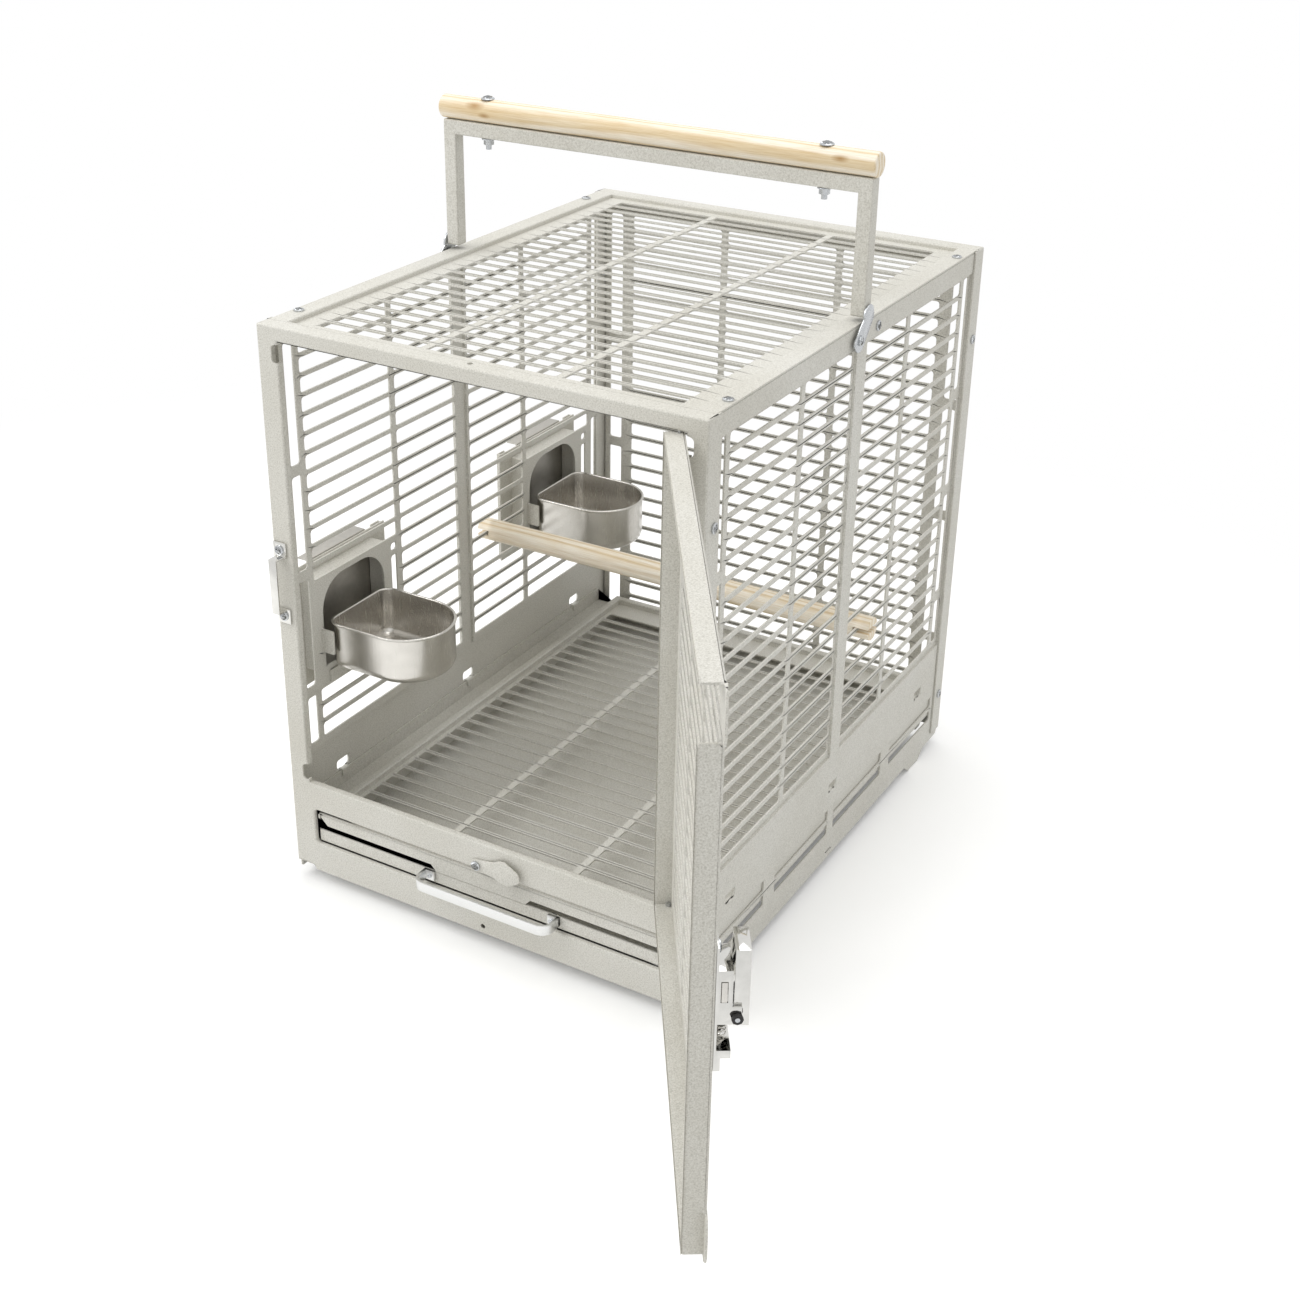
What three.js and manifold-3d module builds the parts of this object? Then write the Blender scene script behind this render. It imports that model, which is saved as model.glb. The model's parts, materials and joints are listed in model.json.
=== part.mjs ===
// Bird transport cage: folded and slotted steel sheet, wooden carrying handle and perch, two feeders.
// Millimetres, +Z up, the door side faces -Y.
// The pieces are drawn about the middle of the body, on the floor.
// The part's origin is the middle of the front left foot's underside.
import * as THREE from 'three';
import { mergeVertices } from 'three/addons/utils/BufferGeometryUtils.js';
import Module from 'manifold-3d';

const wasm = await Module();
wasm.setup();

// Body
const bodyWidth = 406;
const bodyDepth = 529;
const bodyHeight = 509.5;
const footHeight = 12;
const sheet = 1.5;
const gap = 0.3;
const overrun = 5;
const grain = 0.001;

// Grille: rows of long slots, one above the other
const rowPitch = 17.1;
const slotHeight = 13.1;
const backExtraRows = 4;
const sideRowsStart = 114.3;
const longSlotBridge = 10;
const bridgeShares = [0.137, 0.44, 0.7];

// Side panels
const sideInset = 1.8;
const sideFieldDepth = 2.4;
const sideFieldEdge = 19;
const sideFieldTop = 20;
const sideFieldDrop = 6;
const ribWidth = 19;
const longSlotEdge = 22.5;
const longSlotWidth = 12;
const outerColumn = [41, 158];
const innerColumnStart = 164.5;
const innerColumnGap = 1.5;
const sideTopFlange = 14;
const sideBottomLift = 9.5;
const footCentreEdge = 61;
const footTopHalf = 24;
const footHalf = 11;
const footPad = 10;
const hookWidth = 17;
const hookTongueWidth = 9;
const hookHeight = 9;
const hookBottom = 69;
const hookEdge = 66;
const hookDrop = 6;
const ventHeight = 11;
const ventRows = [25, 40];
const ventOuter = [27, 130];
const ventInnerStart = 151;
const ventMiddleGap = 6.5;
const drainSlot = 9;
const drainSlotHeight = 2.2;
const drainBottom = 3;

// Front frame
const frontFlange = 20;
const frontTopFlange = 14;
const frontBottomFlange = 12;
const cornerLift = 5;
const cornerStep = 20;
const notchDrop = 3;
const doorwayLeft = 19.5;
const doorwayRight = 17.5;
const doorwayBottom = 91.5;
const doorwayDrop = 12.5;
const doorwayFlange = 6;
const notchWidth = 6;
const notchHeight = 15;
const notchRound = 3.4;
const trayGateEdge = 23;
const trayGateBottom = 30;
const trayGateTop = 65;
const trayGateRound = 4;
const trayGateFlange = 5;
const railHole = 5;
const railHoleHeight = 7.5;
const topHoleEdge = 10;

// Back and top panels
const backFlange = 20;
const backTopFlange = 14;
const backBottomFlange = 12;
const backFieldDepth = 2.4;
const backFieldEdge = 7;
const backFieldBottom = 40;
const backSlotEdge = 11;
const backSlotWidth = 14;
const topFieldDepth = 4;
const topFieldEdge = 19;
const topFieldFront = 17;
const topRowsEnd = 20;
const gridOuterStart = 65;
const gridOuterEdge = 37;
const gridInner = 58.5;

// Grate, tray and the rails that carry them
const grateEdge = 25;
const grateRim = 60.5;
const grateFieldDepth = 5.8;
const grateRimWidth = 8;
const grateFront = 3;
const grateBack = 10;
const grateRowsStart = 48;
const grateRowsEnd = 36;
const topRowsStart = 29.6;
const flatPitch = 17;
const flatSlot = 13;
const grateLip = 49.6;
const grateDrop = 44.2;
const grateDropCentre = -4;
const grateDropHalf = 51;
const grateDropSlope = 5;
const grateLipEdge = 28;
const grateLipRound = 7;
const trayEdge = 24.5;
const trayTop = 43.4;
const trayBottom = 31;
const trayFront = 4;
const trayBack = 10;
const traySheet = 1.2;
const railTop = 67.2;
const railTrayHeight = 30.7;
const railGrateHeight = 52.9;
const railLedge = 30;
const railStart = 16;
const railEnd = 16;

// Tray pull: a bent flat bar
const pullLength = 138;
const pullReach = 21;
const pullBottom = 34.8;
const pullScrewLength = 6;
const pullHeight = 9;
const pullThick = 3;
const pullRound = 11;
const pullPad = 11;
const pullCentre = 7;
const pullScrewIn = 7;

// Swivel tab over the grate lip
const tabPivotX = -4.2;
const tabPivotHeight = 69.5;
const tabHalves = [[10, 6.3], [19, 7.8], [26, 11], [32.5, 11.5], [45, 5], [46.5, 2.2]];
const tabLength = 46.5;
const tabRest = 6;
const tabStandoff = 0.3;
const tabEye = 6;
const tabBendShare = 0.12;
const tabBendStart = 9;

// Door
const doorSwing = 122.5;
const doorStandoff = 0.5;
const doorFreeGap = 2.5;
const doorHingeGap = 2.5;
const doorHeightGap = 2;
const doorFlange = 15.4;
const doorNotch = 37;
const doorSlotHeight = 13.1;
const doorRowsEdge = 10;
const doorTieWidth = 6;
const doorStile = 23;
const doorColumns = 3;
const doorTabLength = 36;
const doorTabReach = 11;
const doorTabSlope = 9;
const pivotInset = 4;
const pivotDepth = 2;
const pinRadius = 1.2;
const pinHead = 2.2;
const pinHeadHeight = 2;

// Door latch
const latchWidth = 26;
const latchEdge = 3;
const latchDrop = 39;
const latchRise = 49;
const latchPlateDrop = 29.5;
const latchBoxRise = 33;
const latchDepth = 10;
const latchFootDrop = 24;
const latchFootDepth = 4;
const leverPivotHeight = 274;
const leverPivotOut = 13;
const leverFar = 20;
const leverNear = 11;
const leverDrop = 7;
const leverRise = 46;
const leverWall = 1.4;
const leverEarDrop = 5;
const leverEarOut = 15.6;
const washerReach = 2;
const latchWasherRadius = 3.6;
const latchBoxGap = 6;
const latchWall = 1.5;
const leverPinRadius = 1.6;
const boltHeight = 14;
const boltThick = 3.5;
const boltLength = 22;
const boltRise = 18;
const boltOut = 3.4;
const boltTip = 0.5;
const boltPlay = 0.4;
const springRadius = 2.6;
const springWire = 0.5;
const springTurns = 5;
const springSteps = 8;
const springSides = 5;
const springDrop = 23;
const springOut = 5.5;
const springLength = 15;

// Keeper on the stile
const keeperDrop = 27;
const keeperRise = 48;
const keeperFoot = 14;
const keeperWidth = 13;
const keeperStrap = 8;
const keeperReach = 11.8;
const keeperSheet = 1.5;
const keeperEdge = 1.5;

// Carrying handle
const handleBar = 12.5;
const handleOverhang = 0.5;
const handleRise = 115.5;
const handleClear = 4.5;
const tubeWall = 1.5;
const gripRadius = 10;
const gripLift = 0.2;
const gripOverhang = 3;
const boltInset = 43;
const handleBoltRadius = 2.5;
const boltHeadRadius = 6;
const boltHeadHeight = 3;
const nutRadius = 4.6;
const nutHeight = 4.5;
const nutTail = 4;
const washerRadius = 6.2;
const washerThick = 1.2;
const strapThick = 1.8;
const strapWidth = 18;
const strapRise = 14.5;
const pivotScrewLength = 9;
const strapNeck = 1.5;
const pivotForward = 15.5;
const pivotDrop = 11.5;
const lobeRadius = 10;
const stopBehind = 29;

// Feeders on the left panel: a shallow box behind each arch, closed on its outside by a sliding shutter
const feederRows = [3, 8];
const boxDepth = 18;
const boxHalf = 47.5;
const boxSeat = 3.5;
const boxLow = 178;
const boxHigh = 266.5;
const flangeHalf = 69.5;
const shutterHalf = 65;
const archBottom = 182;
const guideLip = 12;
const guideSill = 6;
const shutterPlay = 0.5;
const shutterBottom = 166.6;
const shutterTop = 273;
const shutterTabTop = 276.5;
const shutterTab = [-37, 45];
const shutterReach = 11.7;
const tieSlots = [[184, 249.5], [254.5, 261.5]];
const tieSlotSpan = [55, 63];
const cradleWidth = 38;
const cradleBottom = 164;
const cradleSill = 176;
const earSides = [[-47.5, -46], [44, 45.5]];
const earReach = 13.3;
const earLow = 197.5;
const earHigh = 220;
const cradleShelf = 34;
const cradleShelfHalf = 28;
const archWidth = 87;
const archTop = 263;
const archRound = 30;
const guideBottom = 160;
const guideTop = 275.5;
const shutterThick = 1.2;
const cupWidth = 82.6;
const cupForward = 2;
const cupReach = 98;
const cupTop = 227;
const cupHeight = 46;
const cupWall = 1.2;
const cupCorner = 12;
const cupRim = 1.5;
const cupRimHeight = 2.4;
const cupShifts = [6, 9.5];

// Perch
const perchRadius = 10.65;
const perchHeight = 214.9;
const perchEnds = [5, 7];
const perchShare = 0.38764;
const kerfGap = 0.5;
const kerfPast = 2;

// Pan-head screws
const screwHead = 4.4;
const crownShare = 0.6;
const screwHeadHeight = 2.4;
const screwShank = 2;
const screwLength = 7;
const screwRound = 8;
const topScrewEdge = 8;
const topScrewEnds = [43, 48];
const flangeScrewIn = 10;
const frontScrewIn = 12;
const flangeScrewUp = 48;
const flangeScrewDrop = 85.5;

// Worked out from the sizes above
const left = -bodyWidth / 2;
const right = bodyWidth / 2;
const front = -bodyDepth / 2;
const back = bodyDepth / 2;
const base = footHeight;
const top = footHeight + bodyHeight;
const pivotX = right - doorwayRight - doorHingeGap - pivotInset;
const pivotY = front + pivotDepth;
const columnMiddle = (outerColumn[0] + outerColumn[1]) / 2;
const feederCentres = [front + columnMiddle - cupShifts[0], back - columnMiddle - cupShifts[1]];
const innerColumn = [innerColumnStart, back - ribWidth / 2 - innerColumnGap];
const ventSpans = [ventOuter, [ventInnerStart, back - ventMiddleGap]];
const gridOuter = [gridOuterStart, right - gridOuterEdge];
const pivotHeight = top - pivotDrop;
const latchPivot = base + leverPivotHeight;

// How many rows of slots fit between two places
function rowsBetween(from, to, pitch, slot) {
  return Math.floor((to - from + pitch - slot) / pitch);
}

const sideRows = rowsBetween(base + sideRowsStart, top - sideFieldTop, rowPitch, slotHeight);
const topRows = rowsBetween(front + topRowsStart, back - topRowsEnd, flatPitch, flatSlot);
const grateRows = rowsBetween(front + grateRowsStart, back - grateRowsEnd, flatPitch, flatSlot);

const coatMaterial = new THREE.MeshStandardMaterial({ color: 0xc4c1b6, roughness: 0.62, metalness: 0.1 });
const steelMaterial = new THREE.MeshStandardMaterial({ color: 0xb9b6ae, roughness: 0.28, metalness: 1 });
const galvanisedMaterial = new THREE.MeshStandardMaterial({ color: 0x86877f, roughness: 0.45, metalness: 0.8 });
const chromeMaterial = new THREE.MeshStandardMaterial({ color: 0xd8dad9, roughness: 0.12, metalness: 1 });
const zincMaterial = new THREE.MeshStandardMaterial({ color: 0xb7bcc0, roughness: 0.3, metalness: 0.9 });
const aluminiumMaterial = new THREE.MeshStandardMaterial({ color: 0xdcdedd, roughness: 0.35, metalness: 0.8 });
const rubberMaterial = new THREE.MeshStandardMaterial({ color: 0x1d1c1b, roughness: 0.7, metalness: 0 });
const woodMaterial = new THREE.MeshStandardMaterial({ color: 0xe3c79a, roughness: 0.6, metalness: 0 });

// Geometry helpers
function solid(geometry) {
  const bare = geometry.index ? geometry.toNonIndexed() : geometry;
  bare.deleteAttribute('normal');
  bare.deleteAttribute('uv');
  const positions = bare.attributes.position;
  positions.array.forEach((value, index) => {
    positions.array[index] = Math.round(value / grain) * grain;
  });
  const merged = mergeVertices(bare);
  const mesh = {
    numProp: 3,
    vertProperties: merged.attributes.position.array,
    triVerts: new Uint32Array(merged.index.array),
  };
  return new wasm.Manifold(new wasm.Mesh(mesh));
}

function box(x0, x1, y0, y1, z0, z1) {
  const geometry = new THREE.BoxGeometry(x1 - x0, y1 - y0, z1 - z0);
  geometry.translate((x0 + x1) / 2, (y0 + y1) / 2, (z0 + z1) / 2);
  return solid(geometry);
}

function extruded(shape, depth, curveSegments = 6) {
  return new THREE.ExtrudeGeometry(shape, { depth, bevelEnabled: false, curveSegments });
}

// A shape drawn in X and Z, as thick as the stretch from y0 to y1
function plateXZ(shape, y0, y1, curveSegments) {
  const geometry = extruded(shape, y1 - y0, curveSegments);
  geometry.rotateX(Math.PI / 2);
  geometry.translate(0, y1, 0);
  return solid(geometry);
}

// A shape drawn in Y and Z, as thick as the stretch from x0 to x1
function plateYZ(shape, x0, x1, curveSegments) {
  const geometry = extruded(shape, x1 - x0, curveSegments);
  const along = new THREE.Vector3(1, 0, 0);
  const basis = new THREE.Matrix4().makeBasis(new THREE.Vector3(0, 1, 0), new THREE.Vector3(0, 0, 1), along);
  geometry.applyMatrix4(basis);
  geometry.translate(x0, 0, 0);
  return solid(geometry);
}

// A shape drawn in X and Y, as thick as the stretch from z0 to z1
function plateXY(shape, z0, z1, curveSegments) {
  const geometry = extruded(shape, z1 - z0, curveSegments);
  geometry.translate(0, 0, z0);
  return solid(geometry);
}

function rod(axis, radius, from, to, a, b, sides = screwRound) {
  const geometry = new THREE.CylinderGeometry(radius, radius, to - from, sides);
  const middle = (from + to) / 2;
  if (axis === 'x') {
    geometry.rotateZ(-Math.PI / 2);
    geometry.translate(middle, a, b);
  } else if (axis === 'y') {
    geometry.translate(a, middle, b);
  } else {
    geometry.rotateX(Math.PI / 2);
    geometry.translate(a, b, middle);
  }
  return solid(geometry);
}

function outline(points) {
  return new THREE.Shape(points.map(([x, y]) => new THREE.Vector2(x, y)));
}

function rounded(x0, x1, y0, y1, radius) {
  const shape = new THREE.Shape();
  shape.moveTo(x0 + radius, y0);
  shape.lineTo(x1 - radius, y0);
  shape.absarc(x1 - radius, y0 + radius, radius, -Math.PI / 2, 0);
  shape.lineTo(x1, y1 - radius);
  shape.absarc(x1 - radius, y1 - radius, radius, 0, Math.PI / 2);
  shape.lineTo(x0 + radius, y1);
  shape.absarc(x0 + radius, y1 - radius, radius, Math.PI / 2, Math.PI);
  shape.lineTo(x0, y0 + radius);
  shape.absarc(x0 + radius, y0 + radius, radius, Math.PI, 1.5 * Math.PI);
  return shape;
}

function join(parts) {
  return wasm.Manifold.union(parts);
}

const group = new THREE.Group();
const cage = new THREE.Group();
group.add(cage);

function put(name, body, material, placing) {
  const { vertProperties, triVerts, numProp } = body.getMesh();
  const geometry = new THREE.BufferGeometry();
  const positions = new THREE.BufferAttribute(new Float32Array(vertProperties), numProp);
  geometry.setAttribute('position', positions);
  geometry.setIndex(new THREE.BufferAttribute(new Uint32Array(triVerts), 1));
  if (placing) {
    geometry.applyMatrix4(placing);
  }
  geometry.computeVertexNormals();
  const mesh = new THREE.Mesh(geometry, material);
  mesh.name = name;
  cage.add(mesh);
}

// A pan-head screw whose head sits on a face; its shank runs along the given direction
function screw(place, direction, length = screwLength) {
  const profile = [
    [0, -length],
    [screwShank, -length],
    [screwShank, 0],
    [screwHead, 0],
    [screwHead * crownShare, screwHeadHeight],
    [0, screwHeadHeight],
  ];
  const geometry = new THREE.LatheGeometry(profile.map(([r, h]) => new THREE.Vector2(r, h)), screwRound);
  const outwards = direction.clone().negate();
  const turn = new THREE.Quaternion().setFromUnitVectors(new THREE.Vector3(0, 1, 0), outwards);
  geometry.applyQuaternion(turn);
  geometry.translate(place.x, place.y, place.z);
  return solid(geometry);
}

const intoRight = new THREE.Vector3(-1, 0, 0);
const intoLeft = new THREE.Vector3(1, 0, 0);
const intoBack = new THREE.Vector3(0, 1, 0);
const intoFront = new THREE.Vector3(0, -1, 0);
const down = new THREE.Vector3(0, 0, -1);

// Stretches of a strip that is cut by bridges, given as shares of its height
function stretches(from, to) {
  const middles = bridgeShares.map((share) => from + share * (to - from));
  const starts = [from, ...middles.map((middle) => middle + longSlotBridge / 2)];
  const ends = [...middles.map((middle) => middle - longSlotBridge / 2), to];
  return starts.map((start, index) => [start, ends[index]]);
}

// Side panels
const sideTop = top - sheet - gap;
const rowsBottom = base + sideRowsStart;
const rowsTop = rowsBottom + sideRows * rowPitch - (rowPitch - slotHeight);
const sideFront = front + sheet + gap;
const sideBack = back - sheet - gap;
const sideFieldLow = rowsBottom - sideFieldDrop;
const sideFieldHigh = top - sideFieldTop;
const fieldSpans = [
  [front + sideFieldEdge, -ribWidth / 2],
  [ribWidth / 2, back - sideFieldEdge],
];

function sideOutline() {
  const points = [[sideFront, sideBottomLift]];
  for (const centre of [front + footCentreEdge, back - footCentreEdge]) {
    points.push([centre - footTopHalf, sideBottomLift]);
    points.push([centre - footHalf, 0]);
    points.push([centre + footHalf, 0]);
    points.push([centre + footTopHalf, sideBottomLift]);
  }
  points.push([sideBack, sideBottomLift]);
  points.push([sideBack, sideTop]);
  points.push([sideFront, sideTop]);
  return outline(points);
}

function sideColumns() {
  const near = [outerColumn, innerColumn].map(([a, b]) => [front + a, front + b]);
  const far = [innerColumn, outerColumn].map(([a, b]) => [back - b, back - a]);
  return [...near, ...far];
}

function slabAcross(a, b, y0, y1, z0, z1) {
  return box(Math.min(a, b), Math.max(a, b), y0, y1, z0, z1);
}

function sideSheet(side, face, inner, fieldInner) {
  const parts = [plateYZ(sideOutline(), Math.min(face, inner), Math.max(face, inner))];
  for (const [y0, y1] of fieldSpans) {
    const low = sideFieldLow - sheet;
    const high = sideFieldHigh + sheet;
    parts.push(slabAcross(face, fieldInner, y0 - sheet, y1 + sheet, low, high));
  }
  const turned = face - side * sideTopFlange;
  parts.push(slabAcross(face, turned, sideFront, sideBack, sideTop - sheet, sideTop));
  for (const centre of [front + footCentreEdge, back - footCentreEdge]) {
    const pad = face - side * footPad;
    parts.push(slabAcross(face, pad, centre - footHalf, centre + footHalf, 0, sheet));
  }
  return parts;
}

function sideHooks(side, inner) {
  const parts = [];
  const near = inner - side * (sheet + gap + gap);
  const tip = near - side * sheet;
  const low = base + railTop + gap;
  for (const centre of [front + hookEdge, 0, back - hookEdge]) {
    const y0 = centre - hookTongueWidth / 2;
    const y1 = centre + hookTongueWidth / 2;
    parts.push(slabAcross(inner, tip, y0, y1, low, low + sheet));
    parts.push(slabAcross(near, tip, y0, y1, low - hookDrop, low + sheet));
  }
  return parts;
}

function sideSlots(a, b, withFeeders) {
  const cuts = [];
  const columns = sideColumns();
  columns.forEach(([y0, y1], column) => {
    const outer = column === 0 || column === columns.length - 1;
    for (let row = 0; row < sideRows; row += 1) {
      const held = withFeeders && outer && row >= feederRows[0] && row <= feederRows[1];
      const z0 = rowsBottom + row * rowPitch;
      if (!held) {
        cuts.push(slabAcross(a, b, y0, y1, z0, z0 + slotHeight));
      }
    }
  });
  for (const y0 of [front + longSlotEdge, back - longSlotEdge - longSlotWidth]) {
    for (const [z0, z1] of stretches(rowsBottom, rowsTop)) {
      cuts.push(slabAcross(a, b, y0, y0 + longSlotWidth, z0, z1));
    }
  }
  return cuts;
}

function sideSkirtCuts(a, b) {
  const cuts = [];
  for (const [y0, y1] of ventSpans) {
    for (const low of ventRows) {
      const z0 = base + low;
      cuts.push(slabAcross(a, b, front + y0, front + y1, z0, z0 + ventHeight));
      cuts.push(slabAcross(a, b, back - y1, back - y0, z0, z0 + ventHeight));
    }
  }
  const drain = base + drainBottom;
  cuts.push(slabAcross(a, b, -drainSlot / 2, drainSlot / 2, drain, drain + drainSlotHeight));
  for (const centre of [front + hookEdge, 0, back - hookEdge]) {
    const z0 = base + hookBottom;
    cuts.push(slabAcross(a, b, centre - hookWidth / 2, centre + hookWidth / 2, z0, z0 + hookHeight));
  }
  return cuts;
}

function sideScrewCuts(side, x0, x1) {
  const cuts = [];
  for (const [y, z] of flangeScrewPlaces()) {
    cuts.push(rod('x', screwShank + gap, x0, x1, y, z));
  }
  for (const y of topScrewPlaces()) {
    const x = side * (right - topScrewEdge);
    cuts.push(rod('z', screwShank + gap, sideTop - overrun, sideTop + overrun, x, y));
  }
  cuts.push(rod('x', screwShank + gap, x0, x1, -pivotForward, pivotHeight));
  cuts.push(rod('x', screwShank + gap, x0, x1, stopBehind, pivotHeight));
  return cuts;
}

function archCut(centre, x0, x1) {
  const arch = new THREE.Shape();
  const half = archWidth / 2;
  const shoulder = base + archTop - archRound;
  arch.moveTo(centre - half, base + archBottom);
  arch.lineTo(centre + half, base + archBottom);
  arch.lineTo(centre + half, shoulder);
  arch.absarc(centre + half - archRound, shoulder, archRound, 0, Math.PI / 2);
  arch.absarc(centre - half + archRound, shoulder, archRound, Math.PI / 2, Math.PI);
  return plateYZ(arch, x0, x1);
}

function flangeScrewPlaces() {
  const low = base + flangeScrewUp;
  const high = top - flangeScrewDrop;
  return [[front + frontScrewIn, high], [back - flangeScrewIn, low], [back - flangeScrewIn, high]];
}

function topScrewPlaces() {
  return [front + topScrewEnds[0], back - topScrewEnds[1]];
}

function buildSide(name, side, withFeeders) {
  const face = side * (right - sideInset);
  const inner = face - side * sheet;
  const field = face - side * sideFieldDepth;
  const fieldInner = field - side * sheet;
  const a = face + side * overrun;
  const b = fieldInner - side * overrun;
  const x0 = Math.min(a, b);
  const x1 = Math.max(a, b);
  const parts = [...sideSheet(side, face, inner, fieldInner), ...sideHooks(side, inner)];
  const cuts = [...sideSlots(a, b, withFeeders), ...sideSkirtCuts(a, b), ...sideScrewCuts(side, x0, x1)];
  if (withFeeders) {
    for (const centre of feederCentres) {
      for (const [y0, y1] of earSides) {
        const root = fieldInner + side * sheet / 2;
        const tip = fieldInner - side * earReach;
        parts.push(slabAcross(root, tip, centre + y0, centre + y1, base + earLow, base + earHigh));
      }
    }
  }
  for (const [y0, y1] of fieldSpans) {
    cuts.push(slabAcross(a, field, y0, y1, sideFieldLow, sideFieldHigh));
  }
  if (withFeeders) {
    feederCentres.forEach((centre) => {
      cuts.push(archCut(centre, x0, x1));
      for (const [z0, z1] of tieSlots) {
        const [y0, y1] = tieSlotSpan;
        cuts.push(box(x0, x1, centre + y0, centre + y1, base + z0, base + z1));
      }
    });
  }
  put(name, join(parts).subtract(join(cuts)), coatMaterial);
}

buildSide('left_panel', -1, true);
buildSide('right_panel', 1, false);

// Front frame
const wayLeft = left + doorwayLeft;
const wayRight = right - doorwayRight;
const wayLow = base + doorwayBottom;
const wayHigh = top - doorwayDrop;

function frontOutline() {
  const lifted = base + cornerLift;
  return outline([
    [left, lifted],
    [left + cornerStep, lifted],
    [left + cornerStep, base],
    [right - cornerStep, base],
    [right - cornerStep, lifted],
    [right, lifted],
    [right, top],
    [left, top],
  ]);
}

function buildFront() {
  const deep = front + doorwayFlange;
  const through = front - overrun;
  const past = deep + overrun;
  const parts = [
    plateXZ(frontOutline(), front, front + sheet),
    box(left, left + sheet, front, front + frontFlange, base + cornerLift, top),
    box(right - sheet, right, front, front + frontFlange, base + cornerLift, top),
    box(left, right, front, front + frontTopFlange, top - sheet, top),
    box(left + cornerStep, right - cornerStep, front, front + frontBottomFlange, base, base + sheet),
    box(wayLeft - sheet, wayRight + sheet, front, deep, wayLow - sheet, wayHigh + sheet),
  ];
  const gateLeft = left + trayGateEdge;
  const gateLow = base + trayGateBottom;
  const gateHigh = base + trayGateTop;
  const gate = rounded(gateLeft, -gateLeft, gateLow, gateHigh, trayGateRound);
  const rimLeft = gateLeft - sheet;
  const rim = rounded(rimLeft, -rimLeft, gateLow - sheet, gateHigh + sheet, trayGateRound + sheet);
  parts.push(plateXZ(rim, front, front + trayGateFlange, 2));
  const hingeHole = pinRadius + gap;
  const cuts = [
    box(wayLeft, wayRight, through, past, wayLow, wayHigh),
    plateXZ(gate, through, front + trayGateFlange + overrun, 2),
    rod('y', railHole / 2, through, front + overrun, 0, base + railHoleHeight),
    rod('z', railHole / 2, top - overrun, top + overrun, tabPivotX, front + topHoleEdge),
    rod('y', screwShank + gap, through, front + overrun, tabPivotX, base + tabPivotHeight),
    rod('z', hingeHole, wayHigh - overrun, wayHigh + overrun, pivotX, pivotY),
    rod('z', hingeHole, wayLow - overrun, wayLow + overrun, pivotX, pivotY),
  ];
  for (const [x0, x1] of [[wayLeft - notchWidth, wayLeft], [wayRight, wayRight + notchWidth]]) {
    const high = wayHigh - notchDrop;
    const low = wayLow + notchDrop;
    const reach0 = x0 - (x0 > 0 ? notchRound : 0);
    const reach1 = x1 + (x0 > 0 ? 0 : notchRound);
    cuts.push(plateXZ(rounded(reach0, reach1, high - notchHeight, high, notchRound), through, past, 2));
    cuts.push(plateXZ(rounded(reach0, reach1, low, low + notchHeight, notchRound), through, past, 2));
  }
  for (const z of keeperScrewHeights()) {
    cuts.push(rod('y', screwShank + gap, through, front + overrun, keeperMiddle, z));
  }
  const [y, z] = flangeScrewPlaces()[0];
  cuts.push(rod('x', screwShank + gap, left - overrun, left + overrun, y, z));
  cuts.push(rod('x', screwShank + gap, right - overrun, right + overrun, y, z));
  put('front_frame', join(parts).subtract(join(cuts)), coatMaterial);
}

// Keeper on the left stile
const keeperMiddle = left + keeperEdge + keeperWidth / 2;

function keeperScrewHeights() {
  return [latchPivot - keeperDrop + keeperFoot / 2, latchPivot + keeperRise - keeperFoot / 2];
}

function buildKeeper() {
  const face = front - gap;
  const low = latchPivot - keeperDrop;
  const high = latchPivot + keeperRise;
  const x0 = keeperMiddle - keeperWidth / 2;
  const x1 = keeperMiddle + keeperWidth / 2;
  const s0 = keeperMiddle - keeperStrap / 2;
  const s1 = keeperMiddle + keeperStrap / 2;
  const far = face - keeperReach;
  const innerLow = low + keeperFoot;
  const innerHigh = high - keeperFoot;
  const hole = screwShank + gap;
  const holes = keeperScrewHeights().map((z) => rod('y', hole, far - overrun, front, keeperMiddle, z));
  const body = join([
    box(x0, x1, face - keeperSheet, face, low, innerLow),
    box(x0, x1, face - keeperSheet, face, innerHigh, high),
    box(s0, s1, far, face, innerLow - keeperSheet, innerLow),
    box(s0, s1, far, face, innerHigh, innerHigh + keeperSheet),
    box(s0, s1, far, far + keeperSheet, innerLow - keeperSheet, innerHigh + keeperSheet),
  ]);
  put('keeper', body.subtract(join(holes)), chromeMaterial);
  keeperScrewHeights().forEach((z, index) => {
    const place = new THREE.Vector3(keeperMiddle, face - keeperSheet, z);
    put(`keeper_screw_${index + 1}`, screw(place, intoBack), zincMaterial);
  });
}

buildFront();
buildKeeper();

// Back panel
function gridColumns() {
  const [a, b] = gridOuter;
  return [[-b, -a], [-gridInner, gridInner], [a, b]];
}

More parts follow.
